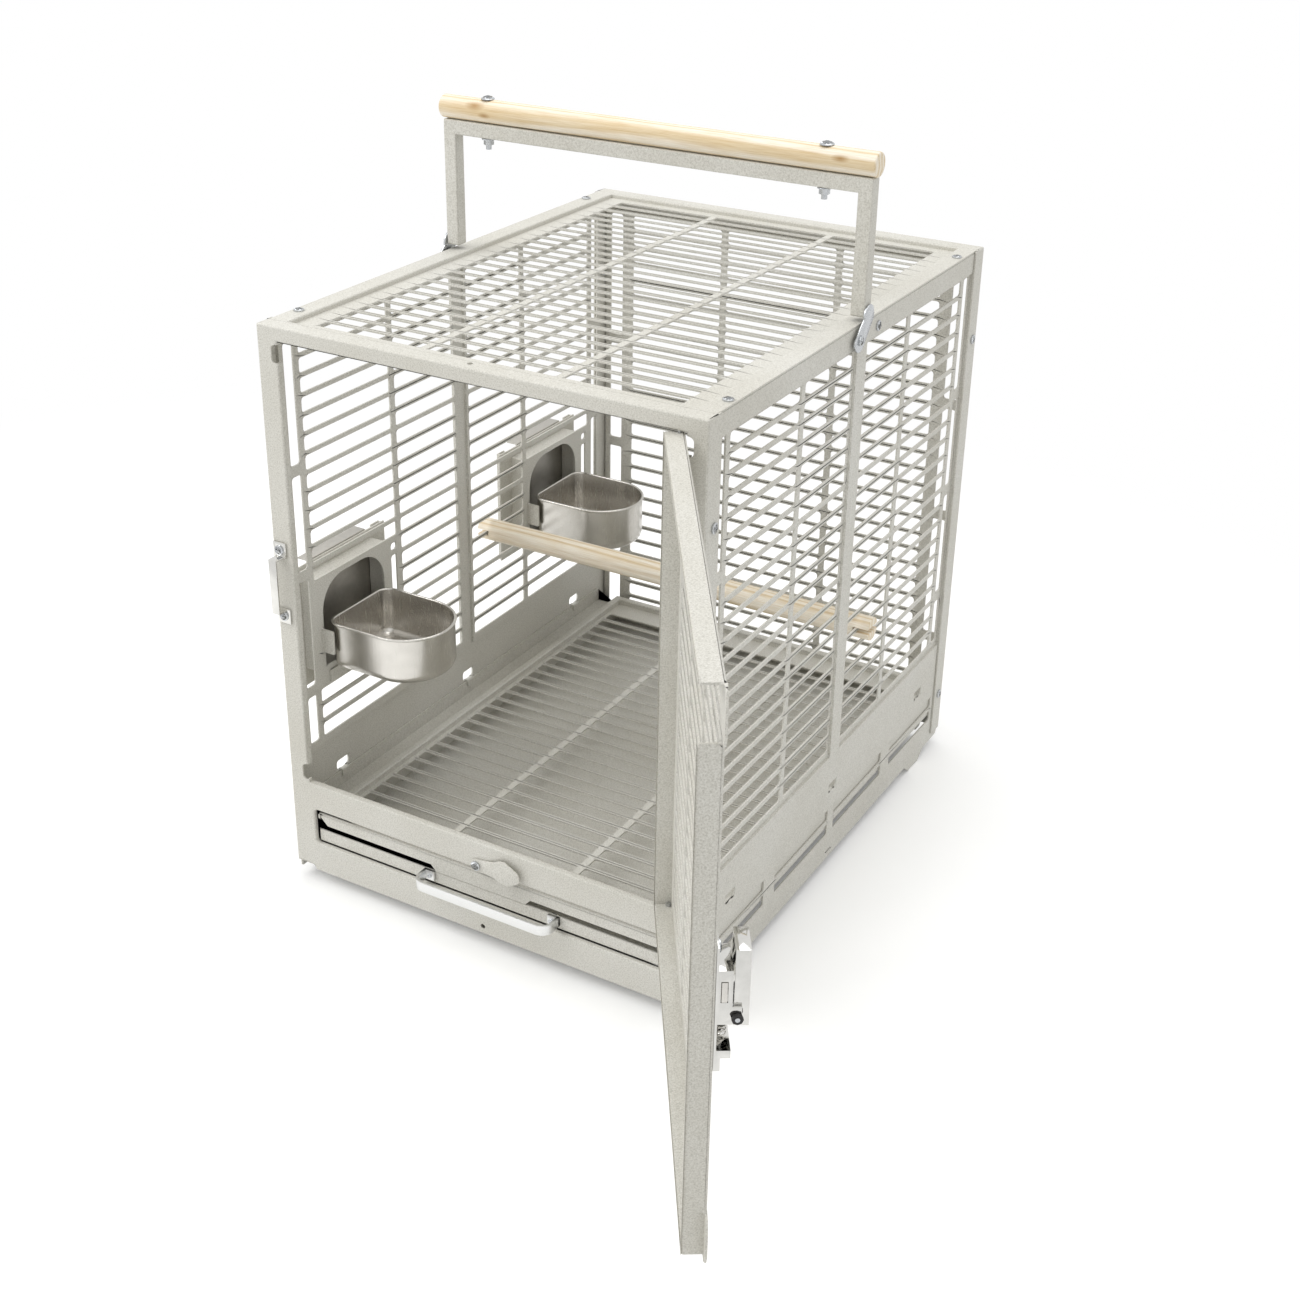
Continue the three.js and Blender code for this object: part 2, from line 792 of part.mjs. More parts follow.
function buildBack() {
  const x0 = left + backFieldEdge;
  const x1 = right - backFieldEdge;
  const low = base + backFieldBottom;
  const field = back - backFieldDepth;
  const fieldInner = field - sheet;
  const lifted = base + cornerLift;
  const parts = [
    box(left, right, back - sheet, back, lifted, top),
    box(left, left + sheet, back - backFlange, back, lifted, top),
    box(right - sheet, right, back - backFlange, back, lifted, top),
    box(left, right, back - backTopFlange, back, top - sheet, top),
    box(left + cornerStep, right - cornerStep, back - backBottomFlange, back, base, base + sheet),
    box(left + cornerStep, right - cornerStep, back - sheet, back, base, lifted + sheet),
    box(x0 - sheet, x1 + sheet, fieldInner, back, low - sheet, sideFieldHigh + sheet),
  ];
  const cuts = [box(x0, x1, field, back + overrun, low, sideFieldHigh)];
  const deep = fieldInner - overrun;
  for (const [a, b] of gridColumns()) {
    for (let row = -backExtraRows; row < sideRows; row += 1) {
      const z0 = rowsBottom + row * rowPitch;
      cuts.push(box(a, b, deep, back + overrun, z0, z0 + slotHeight));
    }
  }
  const lowest = rowsBottom - backExtraRows * rowPitch;
  for (const a of [left + backSlotEdge, right - backSlotEdge - backSlotWidth]) {
    for (const [z0, z1] of stretches(lowest, rowsTop)) {
      cuts.push(box(a, a + backSlotWidth, deep, back + overrun, z0, z1));
    }
  }
  for (const [y, z] of flangeScrewPlaces().slice(1)) {
    cuts.push(rod('x', screwShank + gap, left - overrun, left + overrun, y, z));
    cuts.push(rod('x', screwShank + gap, right - overrun, right + overrun, y, z));
  }
  put('back_panel', join(parts).subtract(join(cuts)), coatMaterial);
}

// Top panel
function buildTop() {
  const edge = right - sideInset;
  const y0 = front + frontTopFlange + gap;
  const y1 = back - backTopFlange - gap;
  const fieldX = right - topFieldEdge;
  const fieldY = back - topFieldFront;
  const field = top - topFieldDepth;
  const low = field - sheet;
  const parts = [
    box(-edge, edge, y0, y1, top - sheet, top),
    box(-fieldX - sheet, fieldX + sheet, -fieldY - sheet, fieldY + sheet, low, top),
  ];
  const cuts = [box(-fieldX, fieldX, -fieldY, fieldY, field, top + overrun)];
  for (const [a, b] of gridColumns()) {
    for (let row = 0; row < topRows; row += 1) {
      const y = front + topRowsStart + row * flatPitch;
      cuts.push(box(a, b, y, y + flatSlot, low - overrun, top + overrun));
    }
  }
  for (const y of topScrewPlaces()) {
    for (const side of [-1, 1]) {
      cuts.push(rod('z', screwShank + gap, top - overrun, top + overrun, side * (right - topScrewEdge), y));
    }
  }
  put('top_panel', join(parts).subtract(join(cuts)), coatMaterial);
}

buildBack();
buildTop();

// Body screws
function buildBodyScrews() {
  for (const [word, side] of [['left', -1], ['right', 1]]) {
    const inward = side < 0 ? intoLeft : intoRight;
    flangeScrewPlaces().forEach(([y, z], index) => {
      const place = new THREE.Vector3(side * right, y, z);
      put(`${word}_flange_screw_${index + 1}`, screw(place, inward), zincMaterial);
    });
    topScrewPlaces().forEach((y, index) => {
      const place = new THREE.Vector3(side * (right - topScrewEdge), y, top);
      put(`${word}_top_screw_${index + 1}`, screw(place, down), zincMaterial);
    });
  }
}

buildBodyScrews();

// Guide rails under the grate and the tray
function buildRail(name, side) {
  const outer = side * (right - sideInset - sheet - gap);
  const web = outer - side * sheet;
  const ledge = side * (right - railLedge);
  const y0 = front + railStart;
  const y1 = back - railEnd;
  const tray = base + railTrayHeight;
  const grate = base + railGrateHeight;
  const body = join([
    slabAcross(outer, web, y0, y1, tray - sheet, base + railTop),
    slabAcross(outer, ledge, y0, y1, tray - sheet, tray),
    slabAcross(outer, ledge, y0, y1, grate - sheet, grate),
  ]);
  put(name, body, coatMaterial);
}

buildRail('left_rail', -1);
buildRail('right_rail', 1);

// Slotted grate
function grateLipOutline() {
  const edge = right - grateLipEdge;
  const high = base + grateRim - sheet / 2;
  const mid = base + grateLip;
  const low = base + grateDrop;
  const d0 = grateDropCentre - grateDropHalf;
  const d1 = grateDropCentre + grateDropHalf;
  return outline([
    [-edge, high],
    [-edge, mid + grateLipRound],
    [-edge + grateLipRound, mid],
    [d0, mid],
    [d0 + grateDropSlope, low],
    [d1 - grateDropSlope, low],
    [d1, mid],
    [edge - grateLipRound, mid],
    [edge, mid + grateLipRound],
    [edge, high],
  ]);
}

function buildGrate() {
  const edge = right - grateEdge;
  const y0 = front + grateFront;
  const y1 = back - grateBack;
  const high = base + grateRim;
  const field = high - grateFieldDepth;
  const low = field - sheet;
  const innerX = edge - grateRimWidth;
  const f0 = y0 + grateRimWidth;
  const f1 = y1 - grateRimWidth;
  const under = high - sheet;
  const shell = box(-edge, edge, y0, y1, low, high);
  const hollow = box(-edge + sheet, edge - sheet, y0 - overrun, y1 - sheet, low - overrun, under);
  const parts = [
    shell.subtract(hollow),
    box(-innerX - sheet, innerX + sheet, f0 - sheet, f1 + sheet, low, high - sheet / 2),
    plateXZ(grateLipOutline(), y0, y0 + sheet),
  ];
  const cuts = [box(-innerX, innerX, f0, f1, field, high + overrun)];
  for (const [a, b] of gridColumns()) {
    for (let row = 0; row < grateRows; row += 1) {
      const y = front + grateRowsStart + row * flatPitch;
      cuts.push(box(a, b, y, y + flatSlot, low - overrun, high + overrun));
    }
  }
  put('grate', join(parts).subtract(join(cuts)), coatMaterial);
}

// Dirt tray and its pull
const pullScrewHeight = base + pullBottom + pullHeight / 2;

function pullScrewPlaces() {
  const half = pullLength / 2 - pullScrewIn;
  return [pullCentre - half, pullCentre + half];
}

function buildTray() {
  const edge = right - trayEdge;
  const y0 = front + trayFront;
  const y1 = back - trayBack;
  const low = base + trayBottom;
  const high = base + trayTop;
  const inner = edge - traySheet;
  const inside = box(-inner, inner, y0 + traySheet, y1 - traySheet, low + traySheet, high + overrun);
  const hole = screwShank + gap;
  const holes = pullScrewPlaces().map((x) => rod('y', hole, y0 - overrun, y0 + overrun, x, pullScrewHeight));
  put('tray', box(-edge, edge, y0, y1, low, high).subtract(join([inside, ...holes])), coatMaterial);
}

function buildPull() {
  const x0 = pullCentre - pullLength / 2;
  const x1 = pullCentre + pullLength / 2;
  const wall = front + trayFront - gap;
  const far = wall - pullReach;
  const low = base + pullBottom;
  const high = low + pullHeight;
  const inRound = pullRound - pullThick;
  const outer = rounded(x0, x1, far, wall + pullRound, pullRound);
  const beyondWall = wall + pullRound + pullRound;
  const inner = rounded(x0 + pullThick, x1 - pullThick, far + pullThick, beyondWall, inRound);
  const bow = plateXY(outer, low, high, 4).subtract(plateXY(inner, low - overrun, high + overrun, 4));
  const beyond = box(x0 - overrun, x1 + overrun, wall, wall + pullReach, low - overrun, high + overrun);
  const pads = [
    box(x0, x0 + pullPad, wall - pullThick, wall, low, high),
    box(x1 - pullPad, x1, wall - pullThick, wall, low, high),
  ];
  const holes = pullScrewPlaces().map((x) => {
    return rod('y', screwShank + gap, wall - pullThick - overrun, wall + overrun, x, pullScrewHeight);
  });
  put('tray_pull', join([bow.subtract(beyond), ...pads]).subtract(join(holes)), aluminiumMaterial);
  pullScrewPlaces().forEach((x, index) => {
    const place = new THREE.Vector3(x, front + trayFront + traySheet, pullScrewHeight);
    put(`tray_pull_screw_${index + 1}`, screw(place, intoFront, pullScrewLength), zincMaterial);
  });
}

// Swivel tab over the grate lip
function buildTab() {
  const shape = new THREE.Shape();
  shape.absarc(0, 0, tabEye, Math.PI / 2, 1.5 * Math.PI);
  tabHalves.forEach(([out, half]) => shape.lineTo(out, -half));
  [...tabHalves].reverse().forEach(([out, half]) => shape.lineTo(out, half));
  const face = front - tabStandoff;
  const hole = rod('y', screwShank + gap, face - overrun, front, 0, 0);
  const plate = plateXZ(shape, face - sheet, face, 4).subtract(hole);
  const flat = box(-tabLength, tabBendStart, face - sheet - overrun, front, -tabLength, tabLength);
  const tip = plate.subtract(flat).warp((point) => {
    point[1] -= Math.max(0, point[0] - tabBendStart) * tabBendShare;
  });
  const bent = join([plate.intersect(flat), tip]);
  const turn = new THREE.Matrix4().makeRotationY(-THREE.MathUtils.degToRad(tabRest));
  const move = new THREE.Matrix4().makeTranslation(tabPivotX, 0, base + tabPivotHeight);
  put('grate_tab', bent, coatMaterial, move.multiply(turn));
  const place = new THREE.Vector3(tabPivotX, face - sheet, base + tabPivotHeight);
  put('grate_tab_screw', screw(place, intoBack), zincMaterial);
}

buildGrate();
buildTray();
buildPull();
buildTab();

// Door leaf, drawn closed and then swung open about its pins
const hingeEdge = wayRight - doorHingeGap;
const freeEdge = wayLeft + doorFreeGap;
const doorFace = front - doorStandoff - sheet;
const doorLow = wayLow + doorHeightGap;
const doorHigh = wayHigh - doorHeightGap;
const toPin = new THREE.Matrix4().makeTranslation(pivotX, pivotY, 0);
const swing = new THREE.Matrix4().makeRotationZ(THREE.MathUtils.degToRad(doorSwing));
const fromPin = new THREE.Matrix4().makeTranslation(-pivotX, -pivotY, 0);
const opened = new THREE.Matrix4().multiply(toPin).multiply(swing).multiply(fromPin);
const latchLeft = freeEdge + latchEdge;
const latchRight = latchLeft + latchWidth;
const latchMiddle = (latchLeft + latchRight) / 2;
const latchBack = doorFace - gap;

function latchScrewPlaces() {
  const high = latchPivot + (latchRise + latchBoxRise) / 2;
  const low = latchPivot - (latchDrop + latchPlateDrop) / 2;
  return [
    new THREE.Vector3(latchMiddle, latchBack - latchWall, high),
    new THREE.Vector3(latchMiddle, latchBack - latchFootDepth, low),
  ];
}

function doorTabOutline(low, high) {
  const reach = freeEdge - doorTabReach;
  const root = freeEdge + sheet / 2;
  return outline([
    [root, low],
    [root, high],
    [reach + doorTabSlope / 2, high],
    [reach, high - doorTabSlope],
    [reach, low + doorTabSlope],
    [reach + doorTabSlope / 2, low],
  ].reverse());
}

function buildDoor() {
  const deep = doorFace + doorFlange;
  const back0 = doorFace + sheet;
  const far = deep + overrun;
  const parts = [
    box(freeEdge, hingeEdge, doorFace, deep, doorLow, doorHigh),
    plateXZ(doorTabOutline(doorLow, doorLow + doorTabLength), doorFace, back0),
    plateXZ(doorTabOutline(doorHigh - doorTabLength, doorHigh), doorFace, back0),
  ];
  const cuts = [
    box(freeEdge + sheet, hingeEdge - sheet, back0, far, doorLow + sheet, doorHigh - sheet),
    box(freeEdge - overrun, freeEdge + overrun, back0, far, doorHigh - doorNotch, doorHigh - sheet),
  ];
  const doorRows = rowsBetween(doorLow + doorRowsEdge, doorHigh - doorRowsEdge, rowPitch, doorSlotHeight);
  const span = doorRows * rowPitch - (rowPitch - doorSlotHeight);
  const start = (doorLow + doorHigh - span) / 2;
  const x0 = freeEdge + doorStile;
  const x1 = hingeEdge - doorStile;
  const width = (x1 - x0 - (doorColumns - 1) * doorTieWidth) / doorColumns;
  for (let column = 0; column < doorColumns; column += 1) {
    const a = x0 + column * (width + doorTieWidth);
    for (let row = 0; row < doorRows; row += 1) {
      const z0 = start + row * rowPitch;
      cuts.push(box(a, a + width, doorFace - overrun, doorFace + overrun, z0, z0 + doorSlotHeight));
    }
  }
  const hinge = pinRadius + gap;
  cuts.push(rod('z', hinge, doorLow - overrun, doorLow + overrun, pivotX, pivotY));
  cuts.push(rod('z', hinge, doorHigh - overrun, doorHigh + overrun, pivotX, pivotY));
  for (const place of latchScrewPlaces()) {
    cuts.push(rod('y', screwShank + gap, doorFace - overrun, doorFace + overrun, place.x, place.z));
  }
  put('door_leaf', join(parts).subtract(join(cuts)), coatMaterial, opened);
}

function buildPins() {
  const upper = doorHigh - sheet - gap;
  const lower = doorLow + sheet + gap;
  const past = wayHigh + sheet + gap;
  const under = wayLow - sheet - gap;
  put('hinge_pin_upper', join([
    rod('z', pinRadius, upper - pinHeadHeight / 2, past, pivotX, pivotY),
    rod('z', pinHead, upper - pinHeadHeight, upper, pivotX, pivotY),
  ]), zincMaterial);
  put('hinge_pin_lower', join([
    rod('z', pinRadius, under, lower + pinHeadHeight / 2, pivotX, pivotY),
    rod('z', pinHead, lower, lower + pinHeadHeight, pivotX, pivotY),
  ]), zincMaterial);
}

// Door latch
const leverAxisY = latchBack - leverPivotOut;
const boltY0 = latchBack - boltOut - boltThick;
const boltZ0 = latchPivot + boltRise - boltHeight / 2;
const boltX0 = latchLeft - boltTip;

function buildLatchBody() {
  const out = latchBack - latchDepth;
  const boxLow = latchPivot + latchBoxGap;
  const boxHigh = latchPivot + latchBoxRise;
  const foot = latchPivot - latchFootDrop;
  const plateLow = latchPivot - latchPlateDrop;
  const earOut = latchBack - leverEarOut;
  const earLow = latchPivot - leverEarDrop;
  const parts = [
    box(latchLeft, latchRight, latchBack - latchWall, latchBack, plateLow, latchPivot + latchRise),
    box(latchLeft, latchRight, out, latchBack, boxLow, boxHigh),
    box(latchLeft, latchRight, out, latchBack, plateLow, foot),
    box(latchLeft, latchRight, latchBack - latchFootDepth, latchBack, latchPivot - latchDrop, foot),
    box(latchRight - latchWall, latchRight, out, latchBack, plateLow, boxHigh),
    box(latchRight - latchWall, latchRight, earOut, latchBack, earLow, boxLow + latchWall),
    box(latchLeft, latchLeft + latchWall, earOut, latchBack, earLow, boxLow + latchWall),
  ];
  const hollowLow = boxLow - overrun;
  const play = boltPlay;
  const boltHigh = boltZ0 + boltHeight;
  const x0 = latchLeft + latchWall;
  const x1 = latchRight - latchWall;
  const boltY1 = boltY0 + boltThick + play;
  const cuts = [
    box(x0, x1, out + latchWall, latchBack - latchWall, hollowLow, boxHigh - latchWall),
    box(latchLeft - overrun, x0 + overrun, boltY0 - play, boltY1, boltZ0 - play, boltHigh + play),
    rod('x', leverPinRadius + gap, latchLeft - overrun, latchRight + overrun, leverAxisY, latchPivot),
  ];
  for (const place of latchScrewPlaces()) {
    cuts.push(rod('y', screwShank + gap, place.y - overrun, latchBack + overrun, place.x, place.z));
  }
  put('latch_body', join(parts).subtract(join(cuts)), chromeMaterial, opened);
}

function buildLever() {
  const x0 = latchLeft + latchWall + gap;
  const x1 = latchRight - latchWall - gap;
  const far = latchBack - leverFar;
  const near = latchBack - leverNear;
  const low = latchPivot - leverDrop;
  const high = latchPivot + leverRise;
  const shell = box(x0, x1, far, near, low, high);
  const under = high - leverWall;
  const hollow = box(x0 + leverWall, x1 - leverWall, far + leverWall, near + overrun, low - overrun, under);
  const hole = rod('x', leverPinRadius + gap, x0 - overrun, x1 + overrun, leverAxisY, latchPivot);
  put('latch_lever', shell.subtract(join([hollow, hole])), chromeMaterial, opened);
}

function buildBolt() {
  const bolt = box(boltX0, boltX0 + boltLength, boltY0, boltY0 + boltThick, boltZ0, boltZ0 + boltHeight);
  put('latch_bolt', bolt, steelMaterial, opened);
}

function buildLatchPin() {
  const x0 = latchLeft - gap - washerReach - gap;
  const pin = rod('x', leverPinRadius, x0, latchRight + gap, leverAxisY, latchPivot);
  put('latch_pin', pin, zincMaterial, opened);
  const w1 = latchLeft - gap;
  const w0 = w1 - washerReach;
  const disc = rod('x', latchWasherRadius, w0, w1, leverAxisY, latchPivot);
  const bore = rod('x', leverPinRadius + gap, w0 - overrun, w1 + overrun, leverAxisY, latchPivot);
  put('latch_washer', disc.subtract(bore), rubberMaterial, opened);
}

class Coil extends THREE.Curve {
  getPoint(share, target = new THREE.Vector3()) {
    const turn = share * springTurns * 2 * Math.PI;
    const x = latchMiddle + springRadius * Math.cos(turn);
    const y = latchBack - springOut + springRadius * Math.sin(turn);
    return target.set(x, y, latchPivot - springDrop + share * springLength);
  }
}

// The least distance between the surfaces of two stretches of wire that lie half a turn or more apart
function leastSpringGap(curve) {
  const points = curve.getPoints(springTurns * springSteps);
  let least = Infinity;
  points.forEach((point, index) => {
    for (const other of points.slice(index + springSteps / 2)) {
      least = Math.min(least, point.distanceTo(other) - springWire - springWire);
    }
  });
  return least;
}

function buildSpring() {
  const corners = [...Array(springSides).keys()].map((corner) => {
    const turn = (2 * Math.PI * corner) / springSides;
    return [springWire * Math.cos(turn), springWire * Math.sin(turn)];
  });
  const curve = new Coil();
  const options = { steps: springTurns * springSteps, bevelEnabled: false, extrudePath: curve };
  console.log('Least gap between the turns of latch_spring, mm:', leastSpringGap(curve).toFixed(2));
  put('latch_spring', solid(new THREE.ExtrudeGeometry(outline(corners), options)), steelMaterial, opened);
}

function buildLatchScrews() {
  latchScrewPlaces().forEach((place, index) => {
    put(`latch_screw_${index + 1}`, screw(place, intoBack), zincMaterial, opened);
  });
}

buildDoor();
buildPins();
buildLatchBody();
buildLever();
buildBolt();
buildLatchPin();
buildSpring();
buildLatchScrews();

// Carrying handle
const legOuter = right + handleOverhang;
const legInner = legOuter - handleBar;
const barHigh = top + handleRise;
const barLow = barHigh - handleBar;
const gripHeight = barHigh + gripLift + gripRadius;
const boltPlaces = [left + boltInset, right - boltInset];

function buildHandleFrame() {
  const half = handleBar / 2;
  const low = top + handleClear;
  const parts = [box(-legOuter, legOuter, -half, half, barLow, barHigh)];
  const cuts = [];
  for (const side of [-1, 1]) {
    parts.push(slabAcross(side * legOuter, side * legInner, -half, half, low, barHigh));
    const a = side * (legOuter - tubeWall);
    const b = side * (legInner + tubeWall);
    cuts.push(slabAcross(a, b, -half + tubeWall, half - tubeWall, low - overrun, barLow));
  }
  for (const x of boltPlaces) {
    cuts.push(rod('z', handleBoltRadius + gap, barLow - overrun, barHigh + overrun, x, 0));
  }
  put('handle_frame', join(parts).subtract(join(cuts)), coatMaterial);
}

function buildGrip() {
  const end = right + gripOverhang;
  const high = gripHeight + gripRadius + overrun;
  const holes = boltPlaces.map((x) => rod('z', handleBoltRadius + gap, barHigh - overrun, high, x, 0));
  put('handle_grip', rod('x', gripRadius, -end, end, 0, gripHeight, 24).subtract(join(holes)), woodMaterial);
}

function buildHandleBolts() {
  const seat = gripHeight + gripRadius + gap;
  const underside = barLow - gap;
  boltPlaces.forEach((x, index) => {
    const end = underside - washerThick - nutHeight - nutTail;
    const dome = rod('z', boltHeadRadius, seat, seat + boltHeadHeight / 2, x, 0, 12);
    const crown = rod('z', boltHeadRadius * crownShare, seat, seat + boltHeadHeight, x, 0, 12);
    const shank = rod('z', handleBoltRadius, end, seat + boltHeadHeight / 2, x, 0);
    put(`handle_bolt_${index + 1}`, join([dome, crown, shank]), zincMaterial);
    const seatLow = underside - washerThick;
    const washer = rod('z', washerRadius, seatLow, underside, x, 0, 12);
    const nut = rod('z', nutRadius, seatLow - nutHeight, underside - washerThick / 2, x, 0, 6);
    const bore = rod('z', handleBoltRadius + gap / 2, end, underside + overrun, x, 0);
    put(`handle_nut_${index + 1}`, join([washer, nut]).subtract(bore), zincMaterial);
  });
}

function strapOutline() {
  const shape = new THREE.Shape();
  const half = strapWidth / 2;
  const shoulder = top + strapNeck;
  const arcHeight = top + strapRise - half;
  const z = pivotHeight;
  shape.absarc(-pivotForward, z, lobeRadius, Math.PI, 1.75 * Math.PI);
  shape.lineTo(half, shoulder);
  shape.lineTo(half, arcHeight);
  shape.absarc(0, arcHeight, half, 0, Math.PI);
  shape.lineTo(-half, shoulder + strapThick);
  return shape;
}

function buildStrap(word, side, inward) {
  const near = side * (legOuter + gap);
  const far = near + side * strapThick;
  const z = pivotHeight;
  const a = Math.min(near, far);
  const b = Math.max(near, far);
  const hole = rod('x', screwShank + gap, a - overrun, b + overrun, -pivotForward, z);
  put(`${word}_strap`, plateYZ(strapOutline(), a, b, 4).subtract(hole), zincMaterial);
  const pivot = new THREE.Vector3(far, -pivotForward, z);
  put(`${word}_pivot_screw`, screw(pivot, inward, pivotScrewLength), zincMaterial);
  const stop = new THREE.Vector3(side * (right - sideInset), stopBehind, z);
  put(`${word}_stop_screw`, screw(stop, inward), zincMaterial);
}

buildHandleFrame();
buildGrip();
buildHandleBolts();
buildStrap('left', -1, intoLeft);
buildStrap('right', 1, intoRight);

// Feeders on the left panel
const feederField = left + sideInset + sideFieldDepth;
const feederInner = feederField + sheet;

function buildGuide(name, centre) {
  const inner = feederField - gap;
  const outer = feederField - boxDepth;
  const flange = outer + sheet;
  const lipInner = outer - shutterPlay - shutterThick - shutterPlay;
  const lip = lipInner - sheet;
  const low = base + guideBottom;
  const high = base + guideTop;
  const seatInner = boxHalf - boxSeat;
  const parts = [
    box(outer, flange, centre - boxHalf, centre + boxHalf, low, base + boxLow),
    box(outer, flange, centre - boxHalf, centre + boxHalf, base + boxHigh - sheet, high),
    box(outer, inner, centre - boxHalf, centre + boxHalf, base + boxLow - sheet, base + boxLow),
    box(outer, inner, centre - boxHalf, centre + boxHalf, base + boxHigh - sheet, base + boxHigh),
    box(lip, flange, centre - shutterHalf, centre + shutterHalf, low, low + guideSill),
  ];
  for (const side of [-1, 1]) {
    const at = (from, to, x0, x1, z0, z1) => {
      const a = centre + side * from;
      const b = centre + side * to;
      parts.push(box(x0, x1, Math.min(a, b), Math.max(a, b), z0, z1));
    };
    const play = shutterHalf + shutterPlay;
    at(boxHalf, boxHalf + sheet, outer, inner, base + boxLow - sheet, base + boxHigh);
    at(seatInner, boxHalf + sheet, inner - sheet, inner, base + boxLow, base + boxHigh - sheet);
    at(boxHalf, flangeHalf, outer, flange, low, high);
    at(play, play + sheet, lip, flange, low, high);
    at(play + sheet - guideLip, play + sheet, lip, lipInner, low, high);
  }
  put(name, join(parts), coatMaterial);
}

function buildShutter(name, centre) {
  const inner = feederField - boxDepth - shutterPlay;
  const outer = inner - shutterThick;
  const t0 = centre + shutterTab[0];
  const t1 = centre + shutterTab[1];
  const high = base + shutterTop;
  const tip = base + shutterTabTop;
  const shape = outline([
    [centre - shutterHalf, base + shutterBottom],
    [centre + shutterHalf, base + shutterBottom],
    [centre + shutterHalf, high],
    [t1, high],
    [t1 - shutterThick, tip],
    [t0 + shutterThick, tip],
    [t0, high],
    [centre - shutterHalf, high],
  ]);
  const plate = plateYZ(shape, outer, inner);
  const lip = box(inner - shutterReach, inner, t0 + shutterThick, t1 - shutterThick, tip - shutterThick, tip);
  put(name, join([plate, lip]), galvanisedMaterial);
}

function cupOutline(centre, grow, x0) {
  const half = cupWidth / 2 + grow;
  const near = x0 - grow;
  const round = x0 + cupReach - cupWidth / 2;
  const shape = new THREE.Shape();
  shape.moveTo(near, centre - half + cupCorner);
  shape.absarc(near + cupCorner, centre - half + cupCorner, cupCorner, Math.PI, 1.5 * Math.PI);
  shape.absarc(round, centre, half, -Math.PI / 2, Math.PI / 2);
  shape.absarc(near + cupCorner, centre + half - cupCorner, cupCorner, Math.PI / 2, Math.PI);
  return shape;
}

function buildCup(name, centre) {
  const x0 = feederInner + gap + sheet + gap + cupRim;
  const high = base + cupTop;
  const low = high - cupHeight;
  const outer = plateXY(cupOutline(centre, 0, x0), low, high, 4);
  const rim = plateXY(cupOutline(centre, cupRim, x0), high - cupRimHeight, high, 4);
  const inner = plateXY(cupOutline(centre, -cupWall, x0), low + cupWall, high + overrun, 4);
  put(name, join([outer, rim]).subtract(inner), steelMaterial);
}

function buildCradle(name, centre) {
  const x0 = feederInner + gap;
  const x1 = x0 + sheet;
  const low = base + cradleBottom;
  const sill = base + cradleSill;
  const shelf = base + cupTop - cupHeight - gap;
  const parts = [
    box(x0, x1, centre - cradleWidth, centre + cradleWidth, low, sill),
    box(x0, x1, centre - cradleShelfHalf, centre + cradleShelfHalf, low, shelf),
    box(x0, x1 + cradleShelf, centre - cradleShelfHalf, centre + cradleShelfHalf, shelf - sheet, shelf),
  ];
  put(name, join(parts), coatMaterial);
}

['front', 'rear'].forEach((word, index) => {
  buildGuide(`${word}_feeder_guide`, feederCentres[index]);
  buildShutter(`${word}_shutter`, feederCentres[index]);
  buildCup(`${word}_cup`, feederCentres[index] - cupForward);
  buildCradle(`${word}_cup_cradle`, feederCentres[index] - cupForward);
});

// Perch
function buildPerch() {
  const [columnFar, columnNear] = innerColumn;
  const perchBehind = back - columnNear + perchShare * (columnNear - columnFar);
  const z = base + perchHeight;
  const barHalf = (rowPitch - slotHeight) / 2 + kerfGap;
  const x0 = left - perchEnds[0];
  const x1 = right + perchEnds[1];
  const depth = sideInset + sideFieldDepth + sheet + kerfPast;
  const wide = perchRadius + overrun;
  const y0 = perchBehind - wide;
  const y1 = perchBehind + wide;
  const kerfs = [
    box(x0 - overrun, left + depth, y0, y1, z - barHalf, z + barHalf),
    box(right - depth, x1 + overrun, y0, y1, z - barHalf, z + barHalf),
  ];
  put('perch', rod('x', perchRadius, x0, x1, perchBehind, z, 24).subtract(join(kerfs)), woodMaterial);
}

buildPerch();
cage.position.set(-left - sideInset - footPad / 2, -front - footCentreEdge, 0);
export default group;
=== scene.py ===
"""Bird transport cage of coated sheet steel, with stainless cups, a pine grip and a pine perch."""
import json
import math

import bmesh
import bpy
from mathutils import Euler, Matrix, Vector


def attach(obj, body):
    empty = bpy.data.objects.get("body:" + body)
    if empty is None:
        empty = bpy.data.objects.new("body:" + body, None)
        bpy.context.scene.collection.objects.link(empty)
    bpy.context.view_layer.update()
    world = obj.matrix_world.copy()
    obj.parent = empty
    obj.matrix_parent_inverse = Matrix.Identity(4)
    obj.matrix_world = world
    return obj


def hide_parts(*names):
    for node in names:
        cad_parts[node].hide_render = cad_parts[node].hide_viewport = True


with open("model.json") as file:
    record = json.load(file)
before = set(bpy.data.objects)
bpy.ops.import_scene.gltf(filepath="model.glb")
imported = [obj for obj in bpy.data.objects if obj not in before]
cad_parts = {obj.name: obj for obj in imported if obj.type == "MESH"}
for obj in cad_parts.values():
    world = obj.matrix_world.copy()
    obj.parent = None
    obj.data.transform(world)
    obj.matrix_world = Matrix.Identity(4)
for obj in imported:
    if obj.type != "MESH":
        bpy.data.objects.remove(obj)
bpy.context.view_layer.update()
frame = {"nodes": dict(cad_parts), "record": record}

MM = 0.001

# The middle of the body on the floor, seen from the front left foot, where the part's origin is
BODY_MIDDLE = Vector((196.2, 203.5, 0))

# The door stands open about its hinge pins, which are in the body's own millimetres
HINGE = (179.0, -262.5)
DOOR_SWING = math.radians(122.5)


def place(x, y, z):
    """A point in the body's own millimetres, as metres in the part's frame."""
    return (Vector((x, y, z)) + BODY_MIDDLE) * MM


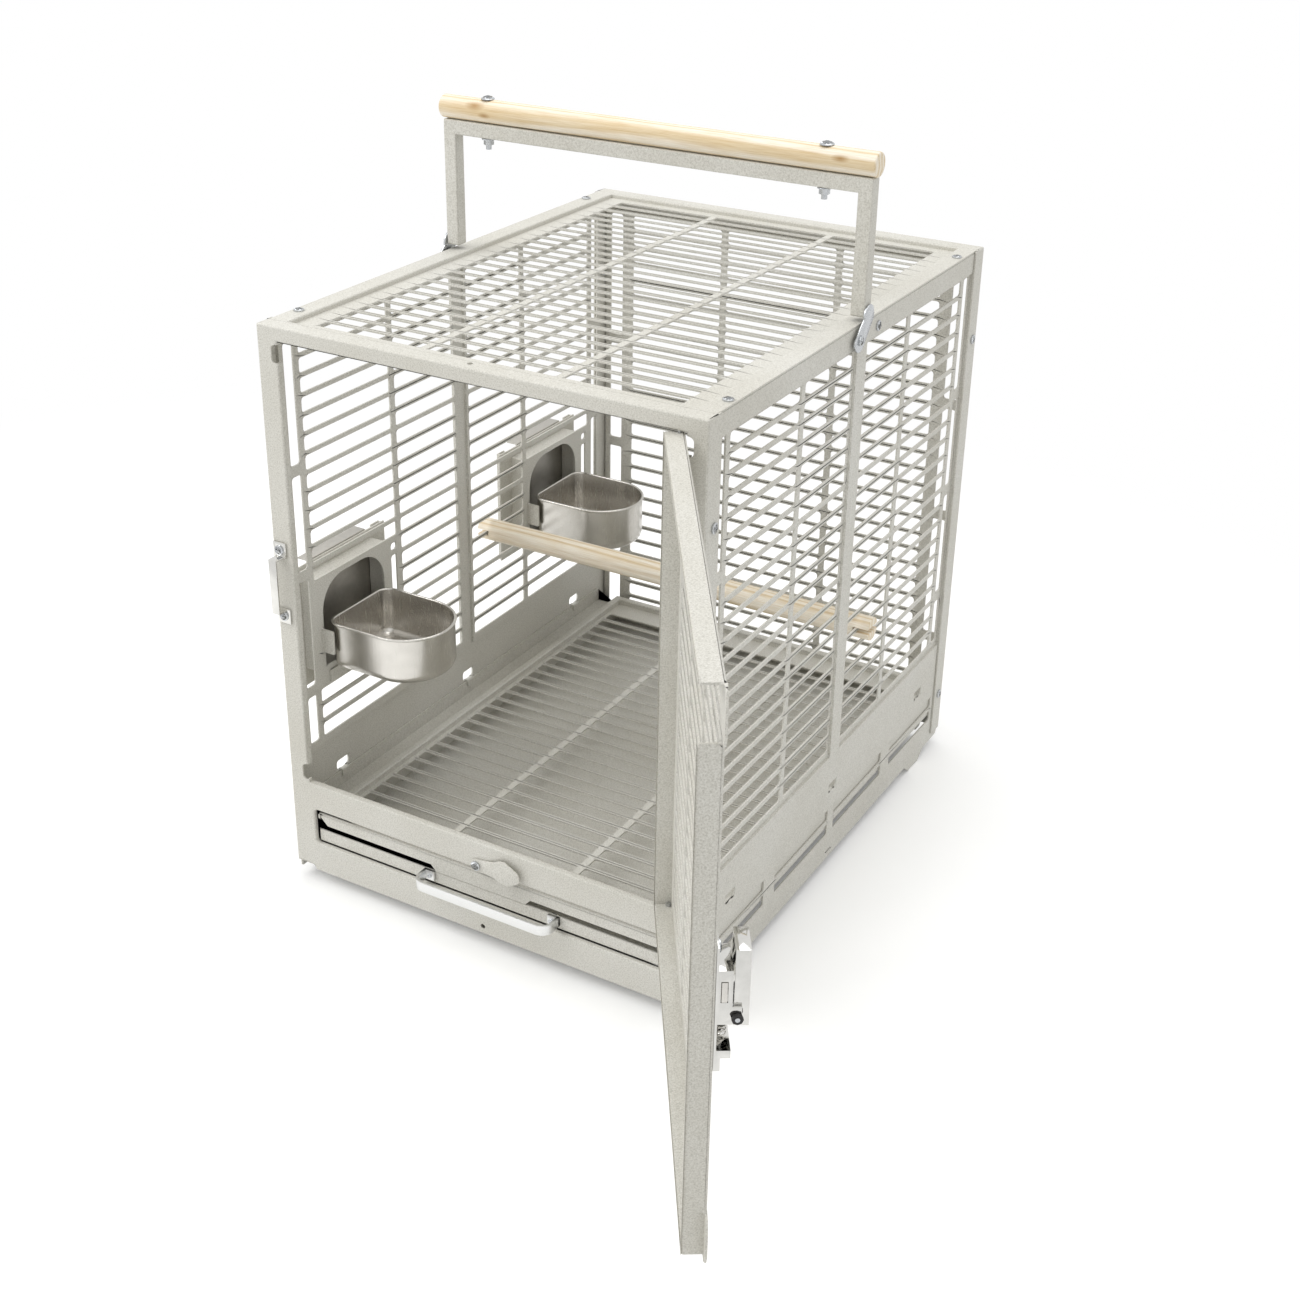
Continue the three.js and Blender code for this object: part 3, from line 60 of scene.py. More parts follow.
# The turn that takes a piece drawn on the closed door to where the open door holds it
PIN = place(*HINGE, 0)
OPENED = Matrix.Translation(PIN) @ Matrix.Rotation(DOOR_SWING, 4, "Z") @ Matrix.Translation(-PIN)


def new_object(name, data):
    """An object in the scene, at the origin."""
    made = bpy.data.objects.new(name, data)
    bpy.context.scene.collection.objects.link(made)
    return made


# Camera, at the photograph's place and angle
CAMERA_PLACE = (0.948435, -1.107636, 0.966962)
CAMERA_TURN = (64.535246, -0.704797, 30.439483)
SENSOR_WIDTH = 36
FOCAL_SHARE = 1830.4 / 1300
FRAME_SHIFT = (0.011677, -0.059195)

camera_data = bpy.data.cameras.new("camera")
camera_data.sensor_width = SENSOR_WIDTH
camera_data.lens = SENSOR_WIDTH * FOCAL_SHARE
camera_data.shift_x, camera_data.shift_y = FRAME_SHIFT
camera_data.clip_start = 0.05
camera_data.clip_end = 60
camera = new_object("camera", camera_data)
camera.location = CAMERA_PLACE
camera.rotation_euler = Euler([math.radians(angle) for angle in CAMERA_TURN], "XYZ")
bpy.context.scene.camera = camera
bpy.context.scene.view_settings.view_transform = "Standard"


# Materials
def colour(code):
    """An sRGB hex colour as linear light."""
    parts = [int(code[i:i + 2], 16) / 255 for i in (0, 2, 4)]
    return [c / 12.92 if c <= 0.04045 else ((c + 0.055) / 1.055) ** 2.4 for c in parts] + [1.0]


def add(tree, kind, settings=None, links=None, stops=()):
    """A new node: settings go to its own values or its sockets, links take another node's output."""
    node = tree.nodes.new(kind)
    for key, value in (settings or {}).items():
        if isinstance(key, str) and hasattr(node, key) and key not in node.inputs:
            setattr(node, key, value)
        else:
            node.inputs[key].default_value = value
    for key, output in (links or {}).items():
        tree.links.new(output, node.inputs[key])
    for index, (position, code) in enumerate(stops):
        elements = node.color_ramp.elements
        element = elements[index] if index < len(elements) else elements.new(position)
        element.position = position
        element.color = colour(code)
    return node


NOISE = "ShaderNodeTexNoise"
RAMP = "ShaderNodeValToRGB"
RANGE = "ShaderNodeMapRange"
MAPPING = "ShaderNodeMapping"
VECTOR_MATH = "ShaderNodeVectorMath"
BUMP = "ShaderNodeBump"
PRINCIPLED = "ShaderNodeBsdfPrincipled"
OUTPUT = "ShaderNodeOutputMaterial"
MIX = "ShaderNodeMix"
TINTED = {"data_type": "RGBA", "blend_type": "MULTIPLY"}

# The part of a noise pattern's range that its values mostly fill
NOISE_MIDDLE = {"From Min": 0.3, "From Max": 0.7}
WHITE = (1, 1, 1, 1)


def start(name):
    """An empty node material, its tree, and the place on the piece that its patterns follow."""
    material = bpy.data.materials.new(name)
    material.use_nodes = True
    tree = material.node_tree
    tree.nodes.clear()
    spot = add(tree, "ShaderNodeTexCoord").outputs["Object"]
    return material, tree, spot


def hammertone_coat():
    """Hammertone powder coat, sprayed and baked on steel.

    It gives the eye a warm light grey with a fine sandy speckle and a soft orange peel.
    """
    material, tree, spot = start("hammertone_powder_coat")
    # Speckles of the metallic flake are about 1.1 mm, the baked film's orange peel about 2.6 mm,
    # and a faint cloudiness about 110 mm
    flake = add(tree, NOISE, {"Scale": 900, "Detail": 3, "Roughness": 0.65}, {"Vector": spot})
    peel = add(tree, NOISE, {"Scale": 380, "Detail": 2, "Roughness": 0.5}, {"Vector": spot})
    cloud = add(tree, NOISE, {"Scale": 9, "Detail": 2}, {"Vector": spot})
    speckle = add(tree, RAMP, {}, {"Fac": flake.outputs["Fac"]},
                  [(0.3, "B5B3AA"), (0.5, "CFCDC5"), (0.72, "DFDED8")])
    tone = add(tree, RAMP, {}, {"Fac": cloud.outputs["Fac"]}, [(0.3, "F4F3F0"), (0.7, "FFFFFF")])
    mixed = add(tree, MIX, TINTED | {0: 1},
                {6: speckle.outputs["Color"], 7: tone.outputs["Color"]})
    rough = add(tree, RANGE, NOISE_MIDDLE | {"To Min": 0.42, "To Max": 0.6},
                {"Value": flake.outputs["Fac"]})
    small = add(tree, BUMP, {"Strength": 0.35, "Distance": 0.00012},
                {"Height": flake.outputs["Fac"]})
    large = add(tree, BUMP, {"Strength": 0.3, "Distance": 0.0003},
                {"Height": peel.outputs["Fac"], "Normal": small.outputs["Normal"]})
    shader = add(tree, PRINCIPLED, {"Metallic": 0.0, "IOR": 1.5, "Specular IOR Level": 0.5},
                 {"Base Color": mixed.outputs[2], "Roughness": rough.outputs["Result"],
                  "Normal": large.outputs["Normal"]})
    add(tree, OUTPUT, {}, {"Surface": shader.outputs[0]})
    return material


def satin_stainless():
    """Stainless steel, deep-drawn and satin finished.

    It gives the eye soft, slightly blurred reflections, with only a trace of upright polishing.
    """
    material, tree, spot = start("satin_stainless_steel")
    # Polishing lines are finer than the render shows, so they are drawn about 0.7 mm apart, and
    # the smudges between them about 17 mm across
    stretched = add(tree, MAPPING, {"Scale": (1, 1, 0.04)}, {"Vector": spot})
    lines = add(tree, NOISE, {"Scale": 1400, "Detail": 2}, {"Vector": stretched.outputs[0]})
    smudge = add(tree, NOISE, {"Scale": 60, "Detail": 3}, {"Vector": spot})
    tint = add(tree, RAMP, {}, {"Fac": smudge.outputs["Fac"]}, [(0.3, "CDCAC4"), (0.7, "D8D5CF")])
    rough = add(tree, RANGE, NOISE_MIDDLE | {"To Min": 0.25, "To Max": 0.275},
                {"Value": lines.outputs["Fac"]})
    bump = add(tree, BUMP, {"Strength": 0.02, "Distance": 0.00003},
               {"Height": lines.outputs["Fac"]})
    shader = add(tree, PRINCIPLED, {"Metallic": 1.0},
                 {"Base Color": tint.outputs["Color"], "Roughness": rough.outputs["Result"],
                  "Normal": bump.outputs["Normal"]})
    add(tree, OUTPUT, {}, {"Surface": shader.outputs[0]})
    return material


def treated_metal(name, dark, light, roughness, grain_scale, grit):
    """A plated, galvanised or anodised metal: a slight shift of colour, and a grit in its shine."""
    material, tree, spot = start(name)
    grain = add(tree, NOISE, {"Scale": grain_scale, "Detail": 3}, {"Vector": spot})
    tint = add(tree, RAMP, {}, {"Fac": grain.outputs["Fac"]}, [(0.3, dark), (0.7, light)])
    rough = add(tree, RANGE, NOISE_MIDDLE | {"To Min": roughness[0], "To Max": roughness[1]},
                {"Value": grain.outputs["Fac"]})
    bump = add(tree, BUMP, {"Strength": 0.15, "Distance": grit}, {"Height": grain.outputs["Fac"]})
    shader = add(tree, PRINCIPLED, {"Metallic": 1.0},
                 {"Base Color": tint.outputs["Color"], "Roughness": rough.outputs["Result"],
                  "Normal": bump.outputs["Normal"]})
    add(tree, OUTPUT, {}, {"Surface": shader.outputs[0]})
    return material


# How far a knot is drawn out along the dowel: its pattern runs at this share of the real length
KNOT_DRAWN_OUT = 0.4


def pine_dowel(name, seed, knots):
    """Pine dowel, turned and sanded, unvarnished.

    It gives the eye pale sapwood with honey-coloured growth lines along its length.
    """
    material, tree, spot = start(name)
    # Growth lines about 6 mm apart, drawn out along the dowel
    along = add(tree, MAPPING, {"Location": (seed, seed * 0.7, 0.0), "Scale": (0.045, 1, 1)},
                {"Vector": spot})
    warp = add(tree, NOISE, {"Scale": 34, "Detail": 2, "Distortion": 0.6},
               {"Vector": along.outputs[0]})
    shifted = add(tree, VECTOR_MATH, {"operation": "MULTIPLY_ADD", 1: (0.02, 0.02, 0.02)},
                  {0: warp.outputs["Color"], 2: along.outputs[0]})
    rings = add(tree, "ShaderNodeTexWave",
                {"wave_type": "BANDS", "bands_direction": "Y", "Scale": 55, "Distortion": 2.5,
                 "Detail": 3, "Detail Scale": 1.2},
                {"Vector": shifted.outputs[0]})
    # Fibres about 0.4 mm wide, and paler and warmer patches about 70 mm across
    fibre_map = add(tree, MAPPING, {"Scale": (0.02, 1, 1)}, {"Vector": spot})
    fibre = add(tree, NOISE, {"Scale": 2400, "Detail": 3}, {"Vector": fibre_map.outputs[0]})
    patch = add(tree, NOISE, {"Scale": 14, "Detail": 2}, {"Vector": spot})
    wood = add(tree, RAMP, {}, {"Fac": rings.outputs["Fac"]},
               [(0.0, "F3EEE2"), (0.55, "EFE7D8"), (0.85, "E6DAC2"), (1.0, "DCCBAA")])
    lines = add(tree, RAMP, {}, {"Fac": fibre.outputs["Fac"]}, [(0.3, "E6D9C4"), (0.6, "FFFFFF")])
    broad = add(tree, RAMP, {}, {"Fac": patch.outputs["Fac"]}, [(0.35, "FFFDFA"), (0.7, "FAF1E2")])
    first = add(tree, MIX, TINTED | {0: 0.8}, {6: wood.outputs["Color"], 7: lines.outputs["Color"]})
    second = add(tree, MIX, TINTED | {0: 0.7}, {6: first.outputs[2], 7: broad.outputs["Color"]})
    shade = second.outputs[2]
    # Knots are honey-brown spots a few millimetres across
    knot_map = add(tree, MAPPING, {"Scale": (KNOT_DRAWN_OUT, 1, 1)}, {"Vector": spot})
    for knot, reach in knots:
        x, y, z = place(*knot)
        away = add(tree, VECTOR_MATH, {"operation": "DISTANCE", 1: (x * KNOT_DRAWN_OUT, y, z)},
                   {0: knot_map.outputs[0]})
        fade = add(tree, RANGE,
                   {"From Min": 0.0, "From Max": reach * MM, "To Min": 1.0, "To Max": 0.0},
                   {"Value": away.outputs["Value"]})
        stain = add(tree, MIX, TINTED | {7: colour("BE9F6C")},
                    {0: fade.outputs["Result"], 6: shade})
        shade = stain.outputs[2]
    bump = add(tree, BUMP, {"Strength": 0.3, "Distance": 0.0002}, {"Height": fibre.outputs["Fac"]})
    rough = add(tree, RANGE, {"To Min": 0.5, "To Max": 0.68}, {"Value": fibre.outputs["Fac"]})
    shader = add(tree, PRINCIPLED, {"Metallic": 0.0, "IOR": 1.45},
                 {"Base Color": shade, "Roughness": rough.outputs["Result"],
                  "Normal": bump.outputs["Normal"]})
    add(tree, OUTPUT, {}, {"Surface": shader.outputs[0]})
    return material


def black_rubber():
    """Black rubber washer, moulded: it gives the eye a dull black with a little dust in it."""
    material, tree, spot = start("black_rubber")
    # The dust is finer than the render shows, so its grain is drawn at 1.4 mm
    grain = add(tree, NOISE, {"Scale": 700, "Detail": 3}, {"Vector": spot})
    tint = add(tree, RAMP, {}, {"Fac": grain.outputs["Fac"]}, [(0.3, "171615"), (0.75, "2A2927")])
    bump = add(tree, BUMP, {"Strength": 0.3, "Distance": 0.0001}, {"Height": grain.outputs["Fac"]})
    shader = add(tree, PRINCIPLED, {"Metallic": 0.0, "Roughness": 0.55},
                 {"Base Color": tint.outputs["Color"], "Normal": bump.outputs["Normal"]})
    add(tree, OUTPUT, {}, {"Surface": shader.outputs[0]})
    return material


COAT = hammertone_coat()
STAINLESS = satin_stainless()
# Keeper and latch: sharp reflections, hardly blurred, that waver over about 8 mm
CHROME = treated_metal("bright_chrome_plate", "D0CFCB", "DBDAD6", (0.05, 0.1), 120, 0.00001)
# Screws, nuts and straps: a bluish grey with an uneven shine. The plate's own grain is finer than
# the render shows, so it is drawn at 1.1 mm
ZINC = treated_metal("clear_zinc_plate", "B6B9BC", "CBCDCF", (0.16, 0.32), 900, 0.00003)
# Feeder shutters: a dull warm grey, clouded in patches of about 4 mm
GALVANISED = treated_metal("hot_dip_galvanised_steel", "B4B1AA", "C0BDB6", (0.45, 0.58), 260,
                           0.00003)
# Tray pull: a pale silky grey. The anodised grain is finer than the render shows, so it is drawn
# at 0.6 mm
ALUMINIUM = treated_metal("silver_anodised_aluminium", "DDDEDE", "EDEDEC", (0.3, 0.42), 1800,
                          0.00004)
# Each knot has its place on the body and its reach, in millimetres
GRIP_KNOTS = [((-168, -8, 652), 4.5), ((-158, -9, 645), 3), ((176, -9, 650), 3.5)]
PERCH_KNOTS = [((-208, 44, 228), 3)]
PINE_GRIP = pine_dowel("pine_grip", 0.31, GRIP_KNOTS)
PINE_PERCH = pine_dowel("pine_perch", 1.13, PERCH_KNOTS)
RUBBER = black_rubber()

SLOT_MATERIALS = {
    "coat": COAT,
    "stainless": STAINLESS,
    "chrome": CHROME,
    "zinc": ZINC,
    "aluminium": ALUMINIUM,
    "galvanised": GALVANISED,
    "rubber": RUBBER,
    "wood": PINE_GRIP,
}
SLOT_OF = {part["node"]: part["material_slot"] for part in frame["record"]["subparts"]}
BODY_OF = {
    member: body
    for body, members in frame["record"]["behaviour"]["bodies"].items()
    for member in members
}


def finish_of(node):
    """The finish of a node's slot. The perch is another dowel than the grip, with its own grain."""
    return PINE_PERCH if node == "perch" else SLOT_MATERIALS[SLOT_OF[node]]


for node_name, cad_node in frame["nodes"].items():
    cad_node.data.materials.clear()
    cad_node.data.materials.append(finish_of(node_name))


# Pieces
SHARP = math.radians(60)
BROKEN = math.radians(35)
FLAT = math.radians(0.5)
WELD = 0.000002


def stand_in(node, ending, bm, on_door=False):
    """A finished piece in the place of its CAD node, on the same body and with the same finish."""
    if on_door:
        bmesh.ops.transform(bm, matrix=OPENED, verts=bm.verts)
    name = f"{node}_{ending}"
    mesh = bpy.data.meshes.new(name)
    bm.normal_update()
    bm.to_mesh(mesh)
    bm.free()
    mesh.materials.append(finish_of(node))
    made = new_object(name, mesh)
    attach(made, BODY_OF[node])
    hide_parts(node)


def merged_copy(node, on_door=False):
    """A copy of a CAD node's mesh, its triangles merged, back on the closed door if it is there."""
    bm = bmesh.new()
    bm.from_mesh(frame["nodes"][node].data)
    bmesh.ops.remove_doubles(bm, verts=bm.verts, dist=WELD)
    if on_door:
        bmesh.ops.transform(bm, matrix=OPENED.inverted(), verts=bm.verts)
    bm.normal_update()
    return bm


def box_of(points):
    """The low and high corner of the box round some points."""
    along_axes = list(zip(*points))
    return [min(values) for values in along_axes], [max(values) for values in along_axes]


def verts_in(geometry):
    return [item for item in geometry if isinstance(item, bmesh.types.BMVert)]


def bevelled(bm, geometry, radius, segments, affect="EDGES", held_apart=False):
    """Round edges or corners over, and give back the new faces."""
    made = bmesh.ops.bevel(
        bm, geom=geometry, offset=radius, offset_type="OFFSET", segments=segments, profile=0.5,
        affect=affect, clamp_overlap=held_apart, material=-1,
    )
    return made["faces"]


def keep_crisp(bm):
    """Edges that bend more than a broken edge does stay crisp under smooth shading."""
    for edge in bm.edges:
        edge.smooth = edge.calc_face_angle(0) < BROKEN


def shade_curves(bm, rounded_faces=()):
    """Smooth shading on the broken edges and on the curved faces, and flat faces left flat."""
    bm.normal_update()
    for face in bm.faces:
        bends = [abs(edge.calc_face_angle(0)) for edge in face.edges if len(edge.link_faces) == 2]
        curved = any(2 * FLAT < bend < BROKEN for bend in bends)
        face.smooth = curved or face in rounded_faces
    keep_crisp(bm)


# Punched and folded sheets, in millimetres
SHEET = 1.5
SHEET_SPARE = 0.3
SLOT_ROUND, SLOT_STEPS = 2.4, 2
FOLD_STEPS = 3
# A fold lies between two faces that both reach further than this
FOLD_REACH = 3.5
# Two places closer than this are one, in metres
SAME = 0.000005
# A face whose normal has less than this along an axis runs along that axis
LEANING = 0.7


def slot_corners(bm):
    """The short edges through the sheet at the corners of its slots."""
    bm.normal_update()
    return [
        edge for edge in bm.edges
        if edge.calc_length() <= (SHEET + SHEET_SPARE) * MM
        and len(edge.link_faces) == 2
        and edge.calc_face_angle_signed() < -SHARP
    ]


def cut_along_slots(bm):
    """Cut the sheet along the lines of its slots, so that every face is a small plain one."""
    lines = [set(), set(), set()]
    for edge in slot_corners(bm):
        first, last = (vert.co for vert in edge.verts)
        for axis in range(3):
            if abs(first[axis] - last[axis]) < SAME:
                lines[axis].add(round(first[axis], 5))
    for axis in range(3):
        normal = Vector([float(axis == other) for other in range(3)])
        for value in sorted(lines[axis]):
            everything = bm.verts[:] + bm.edges[:] + bm.faces[:]
            bmesh.ops.bisect_plane(bm, geom=everything, plane_co=normal * value, plane_no=normal,
                                   dist=SAME)
    bm.normal_update()
    # Of the edges inside flat faces, only those on a slot's line stay
    spare = []
    for edge in bm.edges:
        if len(edge.link_faces) == 2 and abs(edge.calc_face_angle_signed()) < FLAT:
            normal = edge.link_faces[0].normal
            first, last = (vert.co for vert in edge.verts)
            kept = any(
                abs(normal[axis]) < LEANING
                and abs(first[axis] - last[axis]) < SAME
                and any(abs(first[axis] - value) < 2 * SAME for value in lines[axis])
                for axis in range(3)
            )
            if not kept:
                spare.append(edge)
    bmesh.ops.dissolve_edges(bm, edges=spare, use_verts=True, use_face_split=False)


def flat_regions(bm):
    """The low and high corner of the flat region that each face belongs to."""
    bm.faces.ensure_lookup_table()
    corners = {}
    for seed in bm.faces:
        if seed in corners:
            continue
        members, waiting = {seed}, [seed]
        while waiting:
            for edge in waiting.pop().edges:
                if len(edge.link_faces) == 2 and abs(edge.calc_face_angle_signed()) < FLAT:
                    for face in edge.link_faces:
                        if face not in members:
                            members.add(face)
                            waiting.append(face)
        region = box_of(vert.co for face in members for vert in face.verts)
        for face in members:
            corners[face] = region
    return corners


def fold_edges(bm):
    """The outer edges where two flat regions meet that both reach further than a fold needs."""
    bm.normal_update()
    regions = flat_regions(bm)
    found = []
    for edge in bm.edges:
        if len(edge.link_faces) != 2 or edge.calc_face_angle_signed() < SHARP:
            continue
        along = (edge.verts[1].co - edge.verts[0].co).normalized()
        reaches = []
        for face in edge.link_faces:
            across = face.normal.cross(along)
            low, high = regions[face]
            reaches.append(sum(abs(across[axis]) * (high[axis] - low[axis]) for axis in range(3)))
        if min(reaches) > FOLD_REACH * MM:
            found.append(edge)
    return found


def soften(bm, edges, radius, segments):
    """Round edges over, with only the new faces shaded smooth."""
    if edges:
        for face in bevelled(bm, edges, radius * MM, segments):
            face.smooth = True


def folded(node, fold_radius, on_door=False):
    """A punched and folded sheet: round slot corners and round folds on a copy of its CAD node."""
    bm = merged_copy(node, on_door)
    low, high = box_of(vert.co for vert in bm.verts)
    cut_along_slots(bm)
    soften(bm, slot_corners(bm), SLOT_ROUND, SLOT_STEPS)
    soften(bm, fold_edges(bm), fold_radius, FOLD_STEPS)
    # Where folds meet at a corner, the rounded ends stay within the sheet's own box
    for vert in bm.verts:
        vert.co = [min(max(vert.co[axis], low[axis]), high[axis]) for axis in range(3)]
    stand_in(node, "sheet", bm, on_door)


BODY_FOLD, LOOSE_FOLD, STIFF_FOLD = 1.4, 1.8, 1.2

for sheet_node in ("front_frame", "back_panel", "top_panel", "left_panel", "right_panel"):
    folded(sheet_node, BODY_FOLD)
folded("grate", LOOSE_FOLD)
folded("door_leaf", LOOSE_FOLD, on_door=True)
for sheet_node in ("left_rail", "right_rail", "tray", "handle_frame"):
    folded(sheet_node, STIFF_FOLD)


# Small fittings: the sharp edges of every stamped, cast or turned piece are broken
def edged(node, radius, on_door=False):
    """A fitting with its sharp edges broken, on a copy of its CAD node."""
    bm = merged_copy(node, on_door)
    bmesh.ops.dissolve_limit(bm, angle_limit=FLAT, verts=bm.verts, edges=bm.edges)
    sharp = [edge for edge in bm.edges if edge.calc_face_angle(0) > BROKEN]
    shade_curves(bm, set(bevelled(bm, sharp, radius * MM, 2, held_apart=True)))
    stand_in(node, "edged", bm, on_door)


STAMPED_EDGE, SHEET_EDGE, DOWEL_EDGE, LATCH_EDGE = 0.35, 0.3, 0.6, 0.4

for fitting in ("keeper", "left_strap", "right_strap", "grate_tab",
                "handle_nut_1", "handle_nut_2"):
    edged(fitting, STAMPED_EDGE)
for fitting in ("front_feeder_guide", "rear_feeder_guide", "front_shutter", "rear_shutter"):
    edged(fitting, SHEET_EDGE)
edged("perch", DOWEL_EDGE)
for fitting in ("latch_body", "latch_lever", "latch_bolt"):
    edged(fitting, LATCH_EDGE, on_door=True)


# Screws and bolts with cross recesses. A head starts as a grid whose middle row and column are
# the cross
HEAD_GRID = 5
ARM_NARROWED = 0.72
RECESS_DEPTH = 1.3
RECESS_TAPER = 0.6
SHANK_SIDES = 16
# Height of the head, rise of its dome and radius of the shank, in millimetres
SCREW = (2.4, 1.1, 2.0)
HANDLE_BOLT = (3, 2.4, 2.5)


def cross_head(radius, height, dome):
    """A domed head with a cross recess, standing on the plane z = 0, in millimetres."""
    bm = bmesh.new()
    bmesh.ops.create_grid(bm, x_segments=HEAD_GRID, y_segments=HEAD_GRID, size=radius)
    for vert in [vert for vert in bm.verts if vert.is_boundary]:
        vert.co = vert.co.normalized() * radius
    arm = radius / HEAD_GRID
    for vert in bm.verts:
        if abs(abs(vert.co.x) - arm) < arm / 10:
            vert.co.x *= ARM_NARROWED
        if abs(abs(vert.co.y) - arm) < arm / 10:
            vert.co.y *= ARM_NARROWED
        vert.co.z = height - dome * (vert.co.xy.length / radius) ** 2
    rim = [edge for edge in bm.edges if edge.is_boundary]
    for vert in verts_in(bmesh.ops.extrude_edge_only(bm, edges=rim)["geom"]):
        vert.co.z = 0
    cross = []
    for face in bm.faces:
        middle = face.calc_center_median()
        near, far = sorted((abs(middle.x), abs(middle.y)))
        if middle.z > height - dome and near < arm / 2 and far < 3 * arm:
            cross.append(face)
    recess = verts_in(bmesh.ops.extrude_face_region(bm, geom=cross)["geom"])
    bmesh.ops.scale(bm, vec=(RECESS_TAPER, RECESS_TAPER, 1), verts=recess)
    bmesh.ops.translate(bm, vec=(0, 0, -RECESS_DEPTH), verts=recess)
    bm.normal_update()
    keep_crisp(bm)
    for face in bm.faces:
        face.smooth = True
    return bm


def screw(node, out, sizes=SCREW, on_door=False):
    """A screw on the seat and along the shank of its CAD node, its head towards out."""
    height, dome, shank = sizes
    cad = merged_copy(node, on_door)
    low, high = (Vector(corner) for corner in box_of(vert.co for vert in cad.verts))
    cad.free()
    out = Vector(out)
    size = (high - low) / MM
    length = abs(size.dot(out))
    radius = max(size[axis] for axis in range(3) if abs(out[axis]) < 0.5) / 2
    bm = cross_head(radius, height, dome)
    long = length - height
    bmesh.ops.create_cone(bm, cap_ends=True, segments=SHANK_SIDES, radius1=shank, radius2=shank,
                          depth=long, matrix=Matrix.Translation((0, 0, -long / 2)))
    bmesh.ops.recalc_face_normals(bm, faces=bm.faces)
    seat = (low + high) / 2 + out * (length / 2 - height) * MM
    turn = Vector((0, 0, 1)).rotation_difference(out).to_matrix().to_4x4()
    # Every screw is driven home at its own angle, which its name gives in radians
    spun = Matrix.Rotation(sum(map(ord, node)), 4, "Z")
    matrix = Matrix.Translation(seat) @ turn @ Matrix.Scale(MM, 4) @ spun
    if on_door:
        matrix = OPENED @ matrix
    bmesh.ops.transform(bm, matrix=matrix, verts=bm.verts)
    stand_in(node, "cross", bm)


UP, FORWARD, BACKWARD = (0, 0, 1), (0, -1, 0), (0, 1, 0)

for side, outward in (("left", (-1, 0, 0)), ("right", (1, 0, 0))):
    for number in (1, 2, 3):
        screw(f"{side}_flange_screw_{number}", outward)
    for number in (1, 2):
        screw(f"{side}_top_screw_{number}", UP)
    screw(f"{side}_pivot_screw", outward)
    screw(f"{side}_stop_screw", outward)
for number in (1, 2):
    screw(f"keeper_screw_{number}", FORWARD)
    screw(f"tray_pull_screw_{number}", BACKWARD)
    screw(f"latch_screw_{number}", FORWARD, on_door=True)
    screw(f"handle_bolt_{number}", UP, HANDLE_BOLT)
screw("grate_tab_screw", FORWARD)


# Cups, pull and grip, drawn in the body's own millimetres
TO_FRAME = Matrix.Translation(BODY_MIDDLE * MM) @ Matrix.Scale(MM, 4)
LEVEL = 0.001


def plate(x, y, z, half_x, half_y):
    """A start for a piece: one level face about a point."""
    bm = bmesh.new()
    bmesh.ops.create_grid(bm, x_segments=1, y_segments=1, size=1)
    bmesh.ops.scale(bm, vec=(half_x, half_y, 1), verts=bm.verts)
    bmesh.ops.translate(bm, vec=(x, y, z), verts=bm.verts)
    return bm


def edges_at(bm, height):
    """The edges that lie level at one height."""
    return [
        edge for edge in bm.edges
        if all(abs(vert.co.z - height) < LEVEL for vert in edge.verts)
    ]


def extruded(bm, faces, travel, keep=False):
    """Extrude faces by a travel, and give back what the new end is made of."""
    made = bmesh.ops.extrude_face_region(bm, geom=faces, use_keep_orig=keep)["geom"]
    bmesh.ops.translate(bm, vec=travel, verts=verts_in(made))
    return made


def push(bm, face, travel):
    """Move one face by a travel, with walls behind it. The face that it started from goes."""
    extruded(bm, [face], travel)
    bmesh.ops.delete(bm, geom=[face], context="FACES_ONLY")


# Outer wall of a cup, and the turned-over bead round its rim
CUP_BACK, CUP_END, CUP_HALF = -193.7, -95.7, 41.3
CUP_BOTTOM, CUP_RIM = 193.0, 239.0
BEAD_OUT, BEAD_TALL, CUP_WALL = 1.5, 2.4, 1.2
# Each radius with its number of steps
SMALL_CORNER = (13.5, 7)
BOTTOM_OUTSIDE, BOTTOM_INSIDE = (9.5, 6), (8.3, 6)
BEAD_ROUND = (1.15, 3)
# The two wide corners nearly meet at the nose, and what is left between them is welded shut
NOSE_GAP, NOSE_STEPS, NOSE_WELD = 0.05, 14, 0.3
CUP_WELD = 0.01


